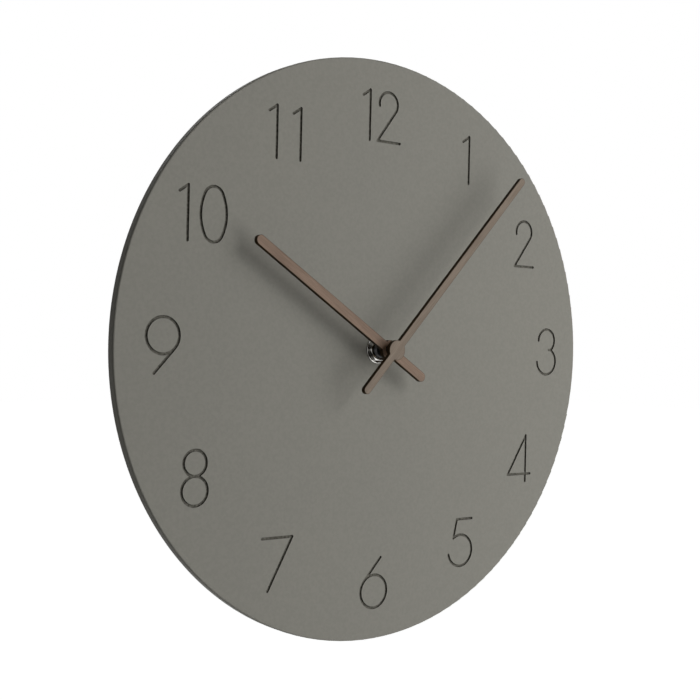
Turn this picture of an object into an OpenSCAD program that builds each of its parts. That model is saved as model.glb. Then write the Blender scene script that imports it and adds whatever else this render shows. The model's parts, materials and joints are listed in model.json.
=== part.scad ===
// A round wooden wall clock: an engraved board, two wooden hands and a battery movement behind it.
// X runs to the right and Z up as the dial is read, and the dial faces -Y.
// The origin is on the shaft axis, in the plane of the wall that the back of the movement meets.
// Every piece is drawn face on, x right, y up and z out from the wall, and stood() turns it upright.

/* [Dial board] */
// Diameter of the round board
dial_d = 300; // [220:1:400]
// Thickness of the board
dial_t = 5.3; // [4:0.1:9]
// Radius of the softened edge of the board
dial_edge_r = 0.9; // [0.3:0.1:1.5]
// Height of a numeral along the middle of its stroke
numeral_h = 26.1; // [16:0.2:34]
// Width of the engraved stroke
stroke_w = 1.45; // [1:0.05:2.4]
// Depth of the engraved stroke
stroke_depth = 0.8; // [0.3:0.1:1.5]

/* [Hands] */
// Reach of the minute hand from the shaft axis
minute_len = 130.5; // [70:0.5:145]
// Reach of the tail of the minute hand
minute_tail = 29.5; // [15:0.5:45]
// Width of the minute hand beside its boss
minute_w = 4.2; // [3:0.1:8]
// Width of the minute hand at its tip
minute_tip_w = 4.1; // [2:0.1:8]
// Reach of the hour hand from the shaft axis
hour_len = 97.0; // [50:0.5:110]
// Reach of the tail of the hour hand
hour_tail = 28.0; // [15:0.5:45]
// Width of the hour hand beside its boss
hour_w = 5.1; // [3:0.1:8]
// Width of the hour hand at its tip
hour_tip_w = 5.0; // [2:0.1:8]
// Radius of the round boss in the middle of each hand
hand_boss_r = 5.1; // [4.2:0.1:7]
// Thickness of each hand
hand_t = 2.4; // [1.5:0.1:4]
// Height of the front of the hour hand over the dial
hour_rise = 10.7; // [10:0.1:20]
// Free height between the two hands
hand_gap = 3.4; // [1.5:0.1:6]
// Place of the minute hand, clockwise from the twelve
minute_turn = 42.6; // [0:0.1:360]
// Place of the hour hand, clockwise from the twelve
hour_turn = 302.3; // [0:0.1:360]
// Radius of the flange of the minute hand's bush
minute_flange_r = 3.4; // [3:0.1:4]
// Radius of the flange of the hour hand's bush
hour_flange_r = 3.9; // [3.6:0.1:4.1]
// Length of the sleeve of each bush behind its hand
bush_sleeve = 2.0; // [1.5:0.1:2.4]
// Thickness of the flange of each bush
bush_flange_t = 0.6; // [0.4:0.1:1]
// Wall of the sleeve of each bush
bush_wall = 0.7; // [0.5:0.05:0.9]

/* [Shafts] */
// Radius of the threaded neck that holds the movement to the board
neck_r = 4.0; // [3.8:0.05:4.5]
// Length of the neck that stands out of its nut
neck_stand = 1.6; // [0.6:0.1:3]
// Radius of the flange inside the case
neck_flange_r = 5.4; // [5:0.1:6]
// Thickness of that flange
neck_flange_t = 0.8; // [0.6:0.1:1.5]
// Radius of the hour tube
hour_tube_r = 2.55; // [2.4:0.01:2.7]
// Radius of the minute arbor
minute_arbor_r = 1.75; // [1.6:0.01:1.85]
// Radius of the second arbor, which ends inside the minute arbor
second_arbor_r = 0.45; // [0.35:0.01:0.6]
// Length of the second arbor inside the minute arbor
second_arbor_len = 10; // [4:0.5:14]
// Running clearance of each shaft in its bearing
run_fit = 0.05; // [0.02:0.01:0.08]
// Clearance of each glued or pressed seat
seat_fit = 0.02; // [0.01:0.01:0.05]

/* [Nut and washers] */
// Radius of the metal washer on the dial
washer_r = 7.0; // [6:0.05:10]
// Thickness of the metal washer
washer_t = 0.7; // [0.4:0.1:1.2]
// Width of the nut across its flats
nut_flats = 11; // [10:0.1:12.4]
// Thickness of the nut
nut_t = 2.0; // [1.5:0.1:3.5]
// Drop of the nut's chamfer
nut_chamfer = 0.35; // [0.1:0.05:0.6]
// Clearance of the board and the washers around the neck
neck_gap = 0.2; // [0.1:0.05:0.5]
// Radius of the rubber washer behind the board
rubber_r = 10; // [8:0.5:14]
// Thickness of the rubber washer
rubber_t = 0.8; // [0.5:0.1:2]

/* [Movement case] */
// Height of the case above the shaft axis
case_top = 28; // [27.5:0.5:34]
// Thickness of the side walls
wall = 1.2; // [1:0.1:1.6]
// Thickness of the front wall
front_t = 1.0; // [0.8:0.1:2]
// Thickness of the rear cover
cover_t = 1.2; // [1:0.1:1.6]
// Radius of the upright corners
corner_r = 3; // [2:0.1:4]
// Room below the shaft axis inside the case
train_low = 10.8; // [10.8:0.1:14]
// Radius of the pillars that carry the train plate
pillar_r = 1.6; // [1.2:0.1:2]
// Distance of the pillars from the inner walls
pillar_inset = 1.0; // [0.8:0.1:1.4]
// Width of each snap clip of the cover
clip_w = 5; // [3:0.5:8]
// Thickness of each snap clip
clip_t = 0.7; // [0.5:0.1:1]
// Clearance around each snap clip
clip_gap = 0.15; // [0.1:0.05:0.3]
// Height of the window that each snap clip catches in
window_h = 1.6; // [1.2:0.1:2.4]
// Depth of the windows behind the case's rear edge
window_z = 3.2; // [2.8:0.1:4]
// Radius of the hole in the hanging eye
eye_r = 4.0; // [3:0.1:5]
// Width of the rim around that hole
eye_rim = 2.6; // [2:0.1:4]
// Thickness of the hanging eye
eye_t = 3.0; // [2:0.1:5]
// Height of the hole's middle above the case
eye_rise = 5.4; // [5.1:0.1:8]

/* [Battery] */
// Diameter of the battery
battery_d = 14.2; // [13.6:0.1:14.5]
// Length of the battery with its button
battery_len = 50.5; // [49:0.1:51]
// Radius of the button
button_r = 2.7; // [2:0.1:3]
// Length of the button
button_len = 1.2; // [1:0.1:1.6]
// Radius of the battery's rolled edge
battery_edge_r = 0.8; // [0.4:0.1:1.2]
// Clearance around the battery
bay_gap = 0.3; // [0.2:0.05:0.6]
// Radius of the finger notch in the bottom wall
notch_r = 10; // [6:0.5:14]
// Depth of the finger notch
notch_depth = 4.5; // [2:0.1:6]
// Thickness of the contact strips
contact_t = 0.4; // [0.3:0.05:0.6]
// Width of the contact strips at the battery
contact_w = 8; // [6:0.5:10]
// Width of the contact strips' tails
tail_w = 2.4; // [1.6:0.1:3]
// Reach of the sprung contact
leaf_reach = 1.9; // [1.4:0.1:3]
// Clearance between a contact and its wall
contact_gap = 0.2; // [0.1:0.05:0.3]

/* [Wheel train] */
// Thickness of the thin wheels
wheel_t = 0.6; // [0.5:0.05:0.8]
// Free height between two wheels
wheel_gap = 0.4; // [0.3:0.05:0.6]
// Distance of the third wheel from the shaft axis
third_reach = 7.2; // [7.1:0.05:7.5]
// Direction of the third wheel, from the right and turning left
third_dir = -20; // [-22:1:0]
// Distance of the intermediate wheel from the shaft axis
between_reach = 7.0; // [6.9:0.05:7.2]
// Direction of the intermediate wheel
between_dir = 150; // [140:1:160]
// Distance of the rotor from the intermediate wheel
rotor_reach = 6.12; // [6:0.02:6.4]
// Direction of the rotor from the intermediate wheel
rotor_dir = 110; // [100:1:120]
// Distance of the motion wheel from the shaft axis and from the setting pinion
motion_reach = 9.6; // [9.4:0.05:9.9]
// Direction of the motion wheel
motion_dir = 60; // [50:1:70]
// Direction of the setting pinion from the motion wheel
setting_dir = 20; // [10:1:30]
// Thickness of the motion wheel and the hour wheel
motion_t = 0.8; // [0.6:0.05:1]
// Radius of the minute arbor's journal in the train plate
journal_r = 3.0; // [2.9:0.05:3.4]
// Radius of the minute arbor's collar
collar_r = 3.6; // [3.4:0.05:4]
// Thickness of that collar
collar_t = 0.6; // [0.5:0.05:0.8]
// Radius of the seat of the centre wheel on the minute arbor
clutch_r = 1.5; // [1.4:0.05:1.6]
// Thickness of the clutch spring
clutch_t = 0.4; // [0.3:0.05:0.5]
// Radius of the clutch spring
clutch_spring_r = 2.9; // [2.4:0.1:3.3]
// Thickness of the train plate
plate_t = 1.0; // [0.8:0.05:1.5]
// Radius of the wheel pivots
pivot_r = 0.5; // [0.4:0.02:0.55]
// Radius of the rotor's pivots
rotor_pivot_r = 0.3; // [0.25:0.01:0.35]
// Radius of the motion wheel's post
post_r = 0.8; // [0.6:0.05:0.9]
// Radius of the setting shaft
setting_r = 1.0; // [0.8:0.05:1.2]
// Wall of each bearing boss
boss_wall = 0.7; // [0.5:0.05:0.8]

/* [Setting knob] */
// Radius of the knob
knob_r = 6.0; // [5:0.1:6.4]
// Thickness of the knob
knob_t = 2.5; // [2:0.1:3]
// Depth of the grooves around the knob
knob_groove = 0.4; // [0.2:0.05:0.5]
// Clearance of the knob in its cup
knob_gap = 0.5; // [0.4:0.05:0.8]
// Wall of the cup
cup_wall = 0.9; // [0.8:0.05:1.2]

/* [Coil and circuit] */
// Radius of the magnet
magnet_r = 1.9; // [1.6:0.05:2]
// Length of the magnet
magnet_len = 2.2; // [1.8:0.05:2.4]
// Air gap around the magnet
magnet_gap = 0.5; // [0.35:0.05:0.7]
// Thickness of the stator and of the core
iron_t = 0.7; // [0.6:0.05:0.8]
// Width of the core and of the stator's arms
iron_w = 3.0; // [2.4:0.1:3.2]
// Length of the coil over its flanges
coil_len = 20; // [16:0.5:21]
// Radius of the bobbin's barrel
barrel_r = 2.2; // [2:0.05:2.4]
// Radius of the winding
winding_r = 3.1; // [2.8:0.05:3.2]
// Radius of the bobbin's flanges
flange_r = 3.4; // [3.3:0.05:3.6]
// Thickness of the bobbin's flanges
flange_t = 0.8; // [0.6:0.05:1.2]
// Height of the coil's axis above the shaft axis
coil_rise = 20.8; // [20.4:0.1:21.4]
// Clearance between the circuit board and the magnet
circuit_gap = 1.7; // [1:0.1:3]
// Height of the circuit board
circuit_h = 21; // [18:0.5:22]
// Thickness of the circuit board
circuit_t = 0.8; // [0.6:0.05:0.9]
// Radius of the chip's cap
chip_r = 2.6; // [2:0.1:3]
// Height of the chip's cap
chip_h = 1.1; // [0.8:0.1:1.4]
// Radius of the crystal's can
crystal_r = 1.5; // [1:0.05:1.55]
// Length of the crystal's can
crystal_len = 8; // [6:0.1:8.2]

/* [Hidden] */
$fn = 96;

// Overrun of every cut past the face that it opens
over = pillar_r / 8;
// Hair by which straight strokes and dots differ in width, so that no two cuts meet in a tangent
stroke_ease = stroke_w / 72;

// Counts of the teeth
rotor_teeth = 12;
between_teeth = [60, 10];
second_teeth = [60, 8];
third_teeth = [60, 8];
centre_teeth = 64;
minute_teeth = 12;
motion_teeth = [36, 10];
hour_teeth = 40;
setting_teeth = 12;
knob_grooves = 24;

// Corners of one tooth: share of the pitch to either side, and share of the module past the pitch circle
tooth_shares = [[-0.30, -1.15], [-0.10, 0.85], [0.10, 0.85], [0.30, -1.15]];

// Modules of the meshing pairs, from their distances and teeth
rotor_mod = 2 * rotor_reach / (rotor_teeth + between_teeth[0]);
second_mod = 2 * between_reach / (between_teeth[1] + second_teeth[0]);
third_mod = 2 * third_reach / (second_teeth[1] + third_teeth[0]);
centre_mod = 2 * third_reach / (third_teeth[1] + centre_teeth);
minute_mod = 2 * motion_reach / (minute_teeth + motion_teeth[0]);
hour_mod = 2 * motion_reach / (motion_teeth[1] + hour_teeth);
// The setting pinion meshes with the motion wheel, so it shares that wheel's module
setting_reach = minute_mod * (motion_teeth[0] + setting_teeth) / 2;

function polar(r, a) = [r * cos(a), r * sin(a)];
third_at = polar(third_reach, third_dir);
between_at = polar(between_reach, between_dir);
rotor_at = between_at + polar(rotor_reach, rotor_dir);
motion_at = polar(motion_reach, motion_dir);
setting_at = motion_at + polar(setting_reach, setting_dir);

// Turn that lays a gap of a wheel on a tooth of the other, for which dir points from the other to it
function mesh_turn(teeth, dir, other_teeth, other_turn) =
    let (off = (dir - other_turn) * other_teeth / 360 - floor((dir - other_turn) * other_teeth / 360))
    dir + 180 + (off + 1 / 2) * 360 / teeth;

// Turns of the toothed wheels, each set against the one before it
rotor_turn = rotor_dir + 180;
between_wheel_turn = mesh_turn(between_teeth[0], rotor_dir + 180, rotor_teeth, rotor_turn);
between_pinion_turn = between_dir + 180;
second_wheel_turn = mesh_turn(second_teeth[0], between_dir + 180, between_teeth[1], between_pinion_turn);
second_pinion_turn = third_dir;
third_wheel_turn = mesh_turn(third_teeth[0], third_dir, second_teeth[1], second_pinion_turn);
third_pinion_turn = third_dir + 180;
centre_turn = mesh_turn(centre_teeth, third_dir + 180, third_teeth[1], third_pinion_turn);
minute_pinion_turn = motion_dir;
motion_wheel_turn = mesh_turn(motion_teeth[0], motion_dir, minute_teeth, minute_pinion_turn);
motion_pinion_turn = motion_dir + 180;
hour_wheel_turn = mesh_turn(hour_teeth, motion_dir + 180, motion_teeth[1], motion_pinion_turn);
setting_turn = mesh_turn(setting_teeth, setting_dir, motion_teeth[0], motion_wheel_turn);

// Heights from the wall, from the rear of the case to the front
play = wheel_gap / 2;
cup_floor = play + knob_t + wheel_gap;
second_z = cover_t + knob_t + boss_wall + play;
third_z = second_z + wheel_t + wheel_gap;
between_z = third_z + wheel_t + wheel_gap;
centre_z = between_z + wheel_t + wheel_gap;
clutch_z = centre_z + wheel_t;
collar_z = clutch_z + clutch_t;
plate_z = collar_z + collar_t + play;
motion_z = plate_z + plate_t + wheel_gap;
hour_z = motion_z + motion_t + 3 * wheel_gap + play;
neck_flange_z = hour_z + motion_t + wheel_gap;
train_depth = neck_flange_z + neck_flange_t + front_t;
battery_depth = battery_d + 2 * bay_gap + front_t;
case_depth = max(train_depth, battery_depth);
inner_z = case_depth - front_t;
boss_top = second_z - wheel_gap - play;
stator_z = second_z - wheel_gap;
core_z = stator_z + iron_t;
coil_z = core_z + iron_t / 2;
circuit_z = plate_z - circuit_t;
tail_z = circuit_z - contact_t;

board_z = case_depth + rubber_t;
dial_z = board_z + dial_t;
nut_z = dial_z + washer_t;
neck_end_z = nut_z + nut_t + neck_stand;
hour_hand_z = dial_z + hour_rise - hand_t;
minute_hand_z = hour_hand_z + hand_t + hand_gap;

// Outline of the case: the battery bay hangs under the train room
bay_h = battery_d + 2 * bay_gap;
divider_low = -train_low - wall;
case_low = divider_low - bay_h - wall;
case_w = battery_len + leaf_reach + 2 * contact_t + 2 * contact_gap + 2 * wall;
inner_x = case_w / 2 - wall;
inner_top = case_top - wall;
strip_x = inner_x - contact_gap - contact_t;
battery_at = [leaf_reach / 2, divider_low - bay_gap - battery_d / 2];
battery_z = inner_z - bay_gap - battery_d / 2;
pillar_x = inner_x - pillar_inset - pillar_r;
pillar_top = inner_top - pillar_inset - pillar_r;
pillar_low = -train_low + pillar_inset + pillar_r;
clip_low = pillar_low + 2 * clip_w;
clip_top = pillar_top - 2 * clip_w;
eye_y = case_top + eye_rise;

// Low corner and width of the circuit board, and the way of the contact strips to it
circuit_x = -inner_x + clip_gap + clip_t + play;
circuit_w = rotor_at[0] - magnet_r - circuit_gap - circuit_x;
circuit_low = pillar_low + pillar_r + wheel_gap + play;
run_low = -train_low + contact_gap;
finger_x = circuit_x + circuit_w / 2;
// Places of the chip and of the crystal, in shares of the circuit board
chip_place_shares = [0.68, 0.45];
crystal_place_shares = [0.2, 0.45];

// Core of the rotor, and the rear of its magnet
rotor_core_r = rotor_pivot_r + boss_wall / 2;
magnet_low = stator_z + iron_t / 2 - magnet_len / 2;

// Numerals: where each figure stands, in shares of the board's radius, and which figure it is
place_shares = [
    [-0.053, 0.807, 1], [0.028, 0.808, 2], [0.412, 0.703, 1], [0.706, 0.417, 2], [0.842, 0.008, 3],
    [0.739, -0.401, 4], [0.409, -0.698, 5], [0.007, -0.806, 6], [-0.399, -0.705, 7],
    [-0.712, -0.411, 8], [-0.834, -0.001, 9], [-0.757, 0.409, 1], [-0.665, 0.411, 0],
    [-0.435, 0.700, 1], [-0.341, 0.702, 1]];

// Sizes of the figures, in shares of the numeral height: x, y and radius of each bowl
two_bowl_shares = [0, 0.262, 0.233];
three_top_shares = [0, 0.252, 0.248];
three_low_shares = [0, -0.210, 0.290];
five_bowl_shares = [0, -0.165, 0.328];
six_bowl_shares = [0, -0.169, 0.327];
eight_top_shares = [0, 0.266, 0.234];
eight_low_shares = [0, -0.234, 0.266];
zero_shares = [0.269, 0.5];
zero_end_share = 0.199;
zero_side_share = (zero_shares[0]^2 - zero_end_share^2 + (zero_shares[1] - zero_end_share)^2)
    / (2 * (zero_shares[0] - zero_end_share));
zero_join = atan2(zero_shares[1] - zero_end_share, zero_side_share - zero_shares[0]);
// Angles at which the open bowls of the two, three and five end, from the right and turning left
five_start = 125.5;
bowl_end = 193;
three_top_end = 181;
three_low_start = -176;

// Angle at a circle's middle where a line from an outside point touches the circle, on the side given
function touch(bowl, from, side) =
    atan2(from[1] - bowl[1], from[0] - bowl[0])
    + side * acos(bowl[2] / norm([from[0] - bowl[0], from[1] - bowl[1]]));
function on_bowl(bowl, a) = [bowl[0], bowl[1]] + polar(bowl[2], a);

two_foot_shares = [-0.270, -0.495];
two_toe_shares = [0.302, -0.495];
two_touch = touch(two_bowl_shares, two_foot_shares, 1);
six_tip_shares = [0.163, 0.496];
six_touch = touch(six_bowl_shares, six_tip_shares, 1);
// The two bowls of the three cross at this angle of the upper one and of the lower one
three_span = three_top_shares[1] - three_low_shares[1];
three_cross = acos((three_top_shares[2]^2 - three_low_shares[2]^2 + three_span^2)
    / (2 * three_span * three_top_shares[2]));
three_cross_low = acos((three_low_shares[2]^2 - three_top_shares[2]^2 + three_span^2)
    / (2 * three_span * three_low_shares[2]));
three_nick_share = 0.065;
three_cross_shares = on_bowl(three_top_shares, three_cross - 90);

// Straight strokes of the figures 0 to 9, each a list of its corners, in shares of the numeral height
line_shares = [
    [],
    [[[-0.175, 0.372], [0, 0.492], [0, -0.492]]],
    [[on_bowl(two_bowl_shares, two_touch), two_foot_shares, two_toe_shares]],
    [[three_cross_shares, three_cross_shares - [three_nick_share, 0]]],
    [[[0, -0.5], [0, 0.5], [-0.534, -0.340], [0.145, -0.340]]],
    [[[0.317, 0.493], [-0.103, 0.493], on_bowl(five_bowl_shares, five_start)]],
    [[on_bowl(six_bowl_shares, six_touch), six_tip_shares]],
    [[[-0.338, 0.494], [0.338, 0.494], [-0.197, -0.494]]],
    [],
    [[-on_bowl(six_bowl_shares, six_touch), -six_tip_shares]]];

// Round strokes of the figures 0 to 9: bowl, start angle and swept angle
arc_shares = [
    [[[0, zero_shares[1] - zero_end_share, zero_end_share], zero_join, 180 - 2 * zero_join],
        [[0, zero_end_share - zero_shares[1], zero_end_share], zero_join - 180, 180 - 2 * zero_join],
        [[zero_shares[0] - zero_side_share, 0, zero_side_share], -zero_join, 2 * zero_join],
        [[zero_side_share - zero_shares[0], 0, zero_side_share], 180 - zero_join, 2 * zero_join]],
    [],
    [[two_bowl_shares, two_touch, bowl_end - two_touch]],
    [[three_top_shares, three_cross - 90, three_top_end - three_cross + 90],
        [three_low_shares, three_low_start, 90 - three_low_start - three_cross_low]],
    [],
    [[five_bowl_shares, bowl_end - 360, 360 - bowl_end + five_start]],
    [[six_bowl_shares, 0, 360]],
    [],
    [[eight_top_shares, 0, 360], [eight_low_shares, 0, 360]],
    [[-six_bowl_shares + [0, 0, 2 * six_bowl_shares[2]], 0, 360]]];

// Turns a piece drawn face on upright, its front to -Y
module stood() {
    rotate([90, 0, 0]) children();
}

// A solid disc or ring between two heights
module ring(r, hole, low, high) {
    translate([0, 0, low]) difference() {
        cylinder(r = r, h = high - low);
        if (hole > 0) translate([0, 0, -over]) cylinder(r = hole, h = high - low + 2 * over);
    }
}

module at(place) {
    translate([place[0], place[1], 0]) children();
}

// A box between two heights, from its low corner to its high corner
module block(corner, far, low, high) {
    translate([corner[0], corner[1], low])
        cube([far[0] - corner[0], far[1] - corner[1], high - low]);
}

// A toothed disc with its first tooth at turn
module toothed(teeth, mod, turn, low, high) {
    translate([0, 0, low]) rotate([0, 0, turn]) linear_extrude(high - low)
        polygon([for (i = [0 : teeth - 1], p = tooth_shares)
            polar(mod * (teeth / 2 + p[1]), (i + p[0]) * 360 / teeth)]);
}

// A rectangle with round corners
module round_outline(low, far, r) {
    translate([low[0] + r, low[1]]) square([far[0] - low[0] - 2 * r, far[1] - low[1]]);
    translate([low[0], low[1] + r]) square([far[0] - low[0], far[1] - low[1] - 2 * r]);
    for (x = [low[0] + r, far[0] - r], y = [low[1] + r, far[1] - r]) translate([x, y]) circle(r);
}

// Round dot where engraved strokes end or meet
module dot_cut(place, width) {
    at(place) cylinder(d = width, h = stroke_depth + over);
}

// Straight engraved stroke between the middles of two dots
module bar_cut(from, to) {
    run = to - from;
    width = stroke_w - 2 * stroke_ease;
    at(from) rotate([0, 0, atan2(run[1], run[0])]) translate([0, -width / 2, 0])
        cube([norm(run), width, stroke_depth + over]);
}

// Round engraved stroke, with a dot at each end where it is open
module round_cut(bowl, start, sweep) {
    at(bowl) rotate([0, 0, start]) rotate_extrude(angle = sweep)
        translate([bowl[2] - stroke_w / 2, 0]) square([stroke_w, stroke_depth + over]);
    if (sweep < 360) for (a = [start, start + sweep]) dot_cut(on_bowl(bowl, a), stroke_w + stroke_ease);
}

module figure_cut(figure) {
    for (path = line_shares[figure]) {
        for (corner = path) dot_cut(corner * numeral_h, stroke_w - stroke_ease);
        for (i = [1 : len(path) - 1]) bar_cut(path[i - 1] * numeral_h, path[i] * numeral_h);
    }
    for (arc = arc_shares[figure]) round_cut(arc[0] * numeral_h, arc[1], arc[2]);
}

module dial_section() {
    square([dial_d / 2 - dial_edge_r, dial_t]);
    translate([0, dial_edge_r]) square([dial_d / 2, dial_t - 2 * dial_edge_r]);
    for (z = [dial_edge_r, dial_t - dial_edge_r]) translate([dial_d / 2 - dial_edge_r, z])
        circle(dial_edge_r);
}

module dial_board() {
    color("#7b7a72") stood() difference() {
        translate([0, 0, board_z]) rotate_extrude() dial_section();
        translate([0, 0, board_z - over]) cylinder(r = neck_r + neck_gap, h = dial_t + 2 * over);
        for (place = place_shares) translate([0, 0, dial_z - stroke_depth])
            at(place * dial_d / 2) figure_cut(place[2]);
    }
}

module rubber_washer() {
    color("#1c1c1c") stood() ring(rubber_r, neck_r + neck_gap, case_depth, board_z);
}

module front_washer() {
    color("#c9c9c6") stood() ring(washer_r, neck_r + neck_gap, dial_z, nut_z);
}

module hex_nut() {
    corner = nut_flats / 2 / cos(30);
    color("#c9c9c6") stood() translate([0, 0, nut_z]) difference() {
        intersection() {
            cylinder(r = corner, h = nut_t, $fn = 6);
            rotate_extrude() polygon([[0, 0], [corner, 0], [corner, nut_t - nut_chamfer],
                [nut_flats / 2, nut_t], [0, nut_t]]);
        }
        translate([0, 0, -over]) cylinder(r = neck_r + run_fit, h = nut_t + 2 * over);
    }
}

module threaded_neck() {
    color("#1d1d1f") stood() difference() {
        union() {
            ring(neck_flange_r, 0, inner_z - neck_flange_t, inner_z);
            ring(neck_r, 0, inner_z - neck_flange_t, neck_end_z);
        }
        translate([0, 0, inner_z - neck_flange_t - over])
            cylinder(r = hour_tube_r + run_fit, h = neck_end_z - inner_z + neck_flange_t + 2 * over);
    }
}

// Bar with round ends and a round boss, pointing up before it is turned
module hand_outline(reach, tail, width, tip_width) {
    tip = tip_width / 2;
    base = width / 2;
    polygon([[-base, base - tail], [base, base - tail], [base, 0], [tip, reach - tip],
        [-tip, reach - tip], [-base, 0]]);
    translate([0, reach - tip]) circle(tip);
    translate([0, base - tail]) circle(base);
    circle(hand_boss_r);
}

module hour_hand() {
    color("#7a6c5f") stood() translate([0, 0, hour_hand_z]) rotate([0, 0, -hour_turn]) difference() {
        linear_extrude(hand_t) hand_outline(hour_len, hour_tail, hour_w, hour_tip_w);
        translate([0, 0, -over]) cylinder(r = hour_tube_r + seat_fit, h = hand_t + 2 * over);
    }
}

module minute_hand() {
    color("#7c7164") stood() translate([0, 0, minute_hand_z]) rotate([0, 0, -minute_turn])
        linear_extrude(hand_t) hand_outline(minute_len, minute_tail, minute_w, minute_tip_w);
}

// Flanged sleeve glued behind a hand, which it carries on its shaft
module hand_bush(shaft_r, flange, front) {
    difference() {
        union() {
            ring(flange, 0, front - bush_flange_t, front);
            ring(shaft_r + seat_fit + bush_wall, 0, front - bush_sleeve, front);
        }
        translate([0, 0, front - bush_sleeve - over])
            cylinder(r = shaft_r + seat_fit, h = bush_sleeve + 2 * over);
    }
}

module hour_hand_bush() {
    color("#a8895a") stood() hand_bush(hour_tube_r, hour_flange_r, hour_hand_z);
}

module minute_hand_bush() {
    color("#a8895a") stood() hand_bush(minute_arbor_r, minute_flange_r, minute_hand_z);
}

module each_pillar() {
    for (x = [-pillar_x, pillar_x], y = [pillar_low, pillar_top]) translate([x, y, 0]) children();
}

// Both walls of the case, at the two heights where the cover snaps in
module each_clip() {
    for (side = [0, 1], y = [clip_low, clip_top]) mirror([side, 0, 0])
        translate([inner_x, y, 0]) children();
}

module front_case() {
    color("#262626") stood() difference() {
        union() {
            difference() {
                linear_extrude(case_depth)
                    round_outline([-case_w / 2, case_low], [case_w / 2, case_top], corner_r);
                block([-inner_x, -train_low], [inner_x, inner_top], -over, inner_z);
                block([-inner_x, case_low + wall], [inner_x, divider_low], -over, inner_z);
            }
            each_pillar() ring(pillar_r, 0, plate_z + plate_t, inner_z + over);
            linear_extrude(eye_t) {
                translate([0, eye_y]) circle(eye_r + eye_rim);
                translate([-eye_r - eye_rim, inner_top])
                    square([2 * (eye_r + eye_rim), eye_y - inner_top]);
            }
        }
        translate([0, eye_y, -over]) cylinder(r = eye_r, h = eye_t + 2 * over);
        // Seat of the rear cover
        block([-case_w, divider_low], [case_w, case_top], -over, cover_t);
        // Hole of the threaded neck
        translate([0, 0, inner_z - over]) cylinder(r = neck_r + seat_fit, h = front_t + 2 * over);
        // Windows of the snap clips
        each_clip() block([-over, -clip_w / 2 - clip_gap], [wall + over, clip_w / 2 + clip_gap],
            window_z, window_z + window_h);
        // Slots in the divider for the tails of the two contacts
        for (x = [-strip_x - contact_t, strip_x]) block([x - contact_gap / 2, divider_low - over],
            [x + contact_t + contact_gap / 2, -train_low + over],
            tail_z - tail_w - contact_gap, circuit_z + contact_gap);
        // Finger notch for the battery
        translate([0, case_low - over, notch_depth - notch_r]) rotate([-90, 0, 0])
            cylinder(r = notch_r, h = wall + 2 * over);
    }
}

// Bearing boss on the inside of the rear cover, before its blind hole is cut
module boss(hole, top) {
    ring(hole + run_fit + boss_wall, 0, cover_t / 2, top);
}

module rear_cover() {
    cup_r = knob_r + knob_gap;
    color("#2b2b2b") stood() difference() {
        union() {
            intersection() {
                linear_extrude(cover_t)
                    round_outline([-case_w / 2, case_low], [case_w / 2, case_top], corner_r);
                block([-case_w, divider_low], [case_w, case_top], -over, cover_t + over);
            }
            at(setting_at) ring(cup_r + cup_wall, 0, 0, cup_floor + cup_wall);
            boss(second_arbor_r, boss_top);
            at(third_at) boss(pivot_r, boss_top);
            at(between_at) boss(pivot_r, boss_top);
            at(between_at) ring(pivot_r, 0, boss_top - over, centre_z - play);
            at(rotor_at) boss(rotor_pivot_r, stator_z - magnet_len / 2);
            each_pillar() ring(pillar_r, 0, cover_t / 2, plate_z);
            for (x = [-1, 1]) at(rotor_at + [x * (coil_len + iron_w) / 2, iron_w])
                ring(pillar_r - play, 0, cover_t / 2, stator_z);
            each_clip() {
                block([-clip_gap - clip_t, -clip_w / 2], [-clip_gap, clip_w / 2],
                    cover_t / 2, window_z + window_h);
                block([-clip_gap - clip_t, -clip_w / 2], [wall / 2, clip_w / 2],
                    window_z + clip_gap, window_z + window_h - clip_gap);
            }
        }
        at(setting_at) translate([0, 0, -over]) cylinder(r = cup_r, h = cup_floor + over);
        at(setting_at) translate([0, 0, cup_floor - over])
            cylinder(r = setting_r + run_fit, h = cup_wall + 2 * over);
        for (hole = [[[0, 0], second_arbor_r, boss_top], [third_at, pivot_r, boss_top],
            [rotor_at, rotor_pivot_r, stator_z - magnet_len / 2]])
            at(hole[0]) translate([0, 0, cover_t]) cylinder(r = hole[1] + run_fit, h = hole[2]);
    }
}

module train_plate() {
    color("#e6e2d6") stood() {
        difference() {
            block([-inner_x + clip_gap + clip_t + play, -train_low + contact_t + 2 * contact_gap],
                [inner_x - clip_gap - clip_t - play, inner_top - play], plate_z, plate_z + plate_t);
            for (hole = [[[0, 0], journal_r], [third_at, pivot_r], [rotor_at, rotor_pivot_r],
                [setting_at, setting_r]])
                at(hole[0]) translate([0, 0, plate_z - over])
                    cylinder(r = hole[1] + run_fit, h = plate_t + 2 * over);
        }
        at(motion_at) ring(post_r, 0, plate_z + plate_t - over, inner_z - wheel_gap);
    }
}

module battery() {
    body_len = battery_len - button_len;
    r = battery_d / 2;
    edge = battery_edge_r;
    color("#3d4a52") stood() translate([battery_at[0] - battery_len / 2, battery_at[1], battery_z])
        rotate([0, 90, 0]) rotate_extrude() {
            square([r - edge, body_len]);
            translate([0, edge]) square([r, body_len - 2 * edge]);
            for (y = [edge, body_len - edge]) translate([r - edge, y]) circle(edge);
            square([button_r, battery_len]);
        }
}

// Tail of a contact strip: a finger that bears on the rear of the circuit board
module finger(x, low) {
    block([x, low], [x + tail_w, circuit_low + tail_w], tail_z, circuit_z);
}

module positive_contact() {
    color("#c4bd9f") stood() {
        block([strip_x, battery_at[1] - contact_w / 2], [strip_x + contact_t, battery_at[1] + contact_w / 2],
            battery_z - contact_w / 2, battery_z + contact_w / 2);
        block([strip_x, battery_at[1]], [strip_x + contact_t, run_low + contact_t],
            tail_z - tail_w, circuit_z);
        block([finger_x, run_low], [strip_x + contact_t, run_low + contact_t], tail_z - tail_w, circuit_z);
        finger(finger_x, run_low);
    }
}

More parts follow.
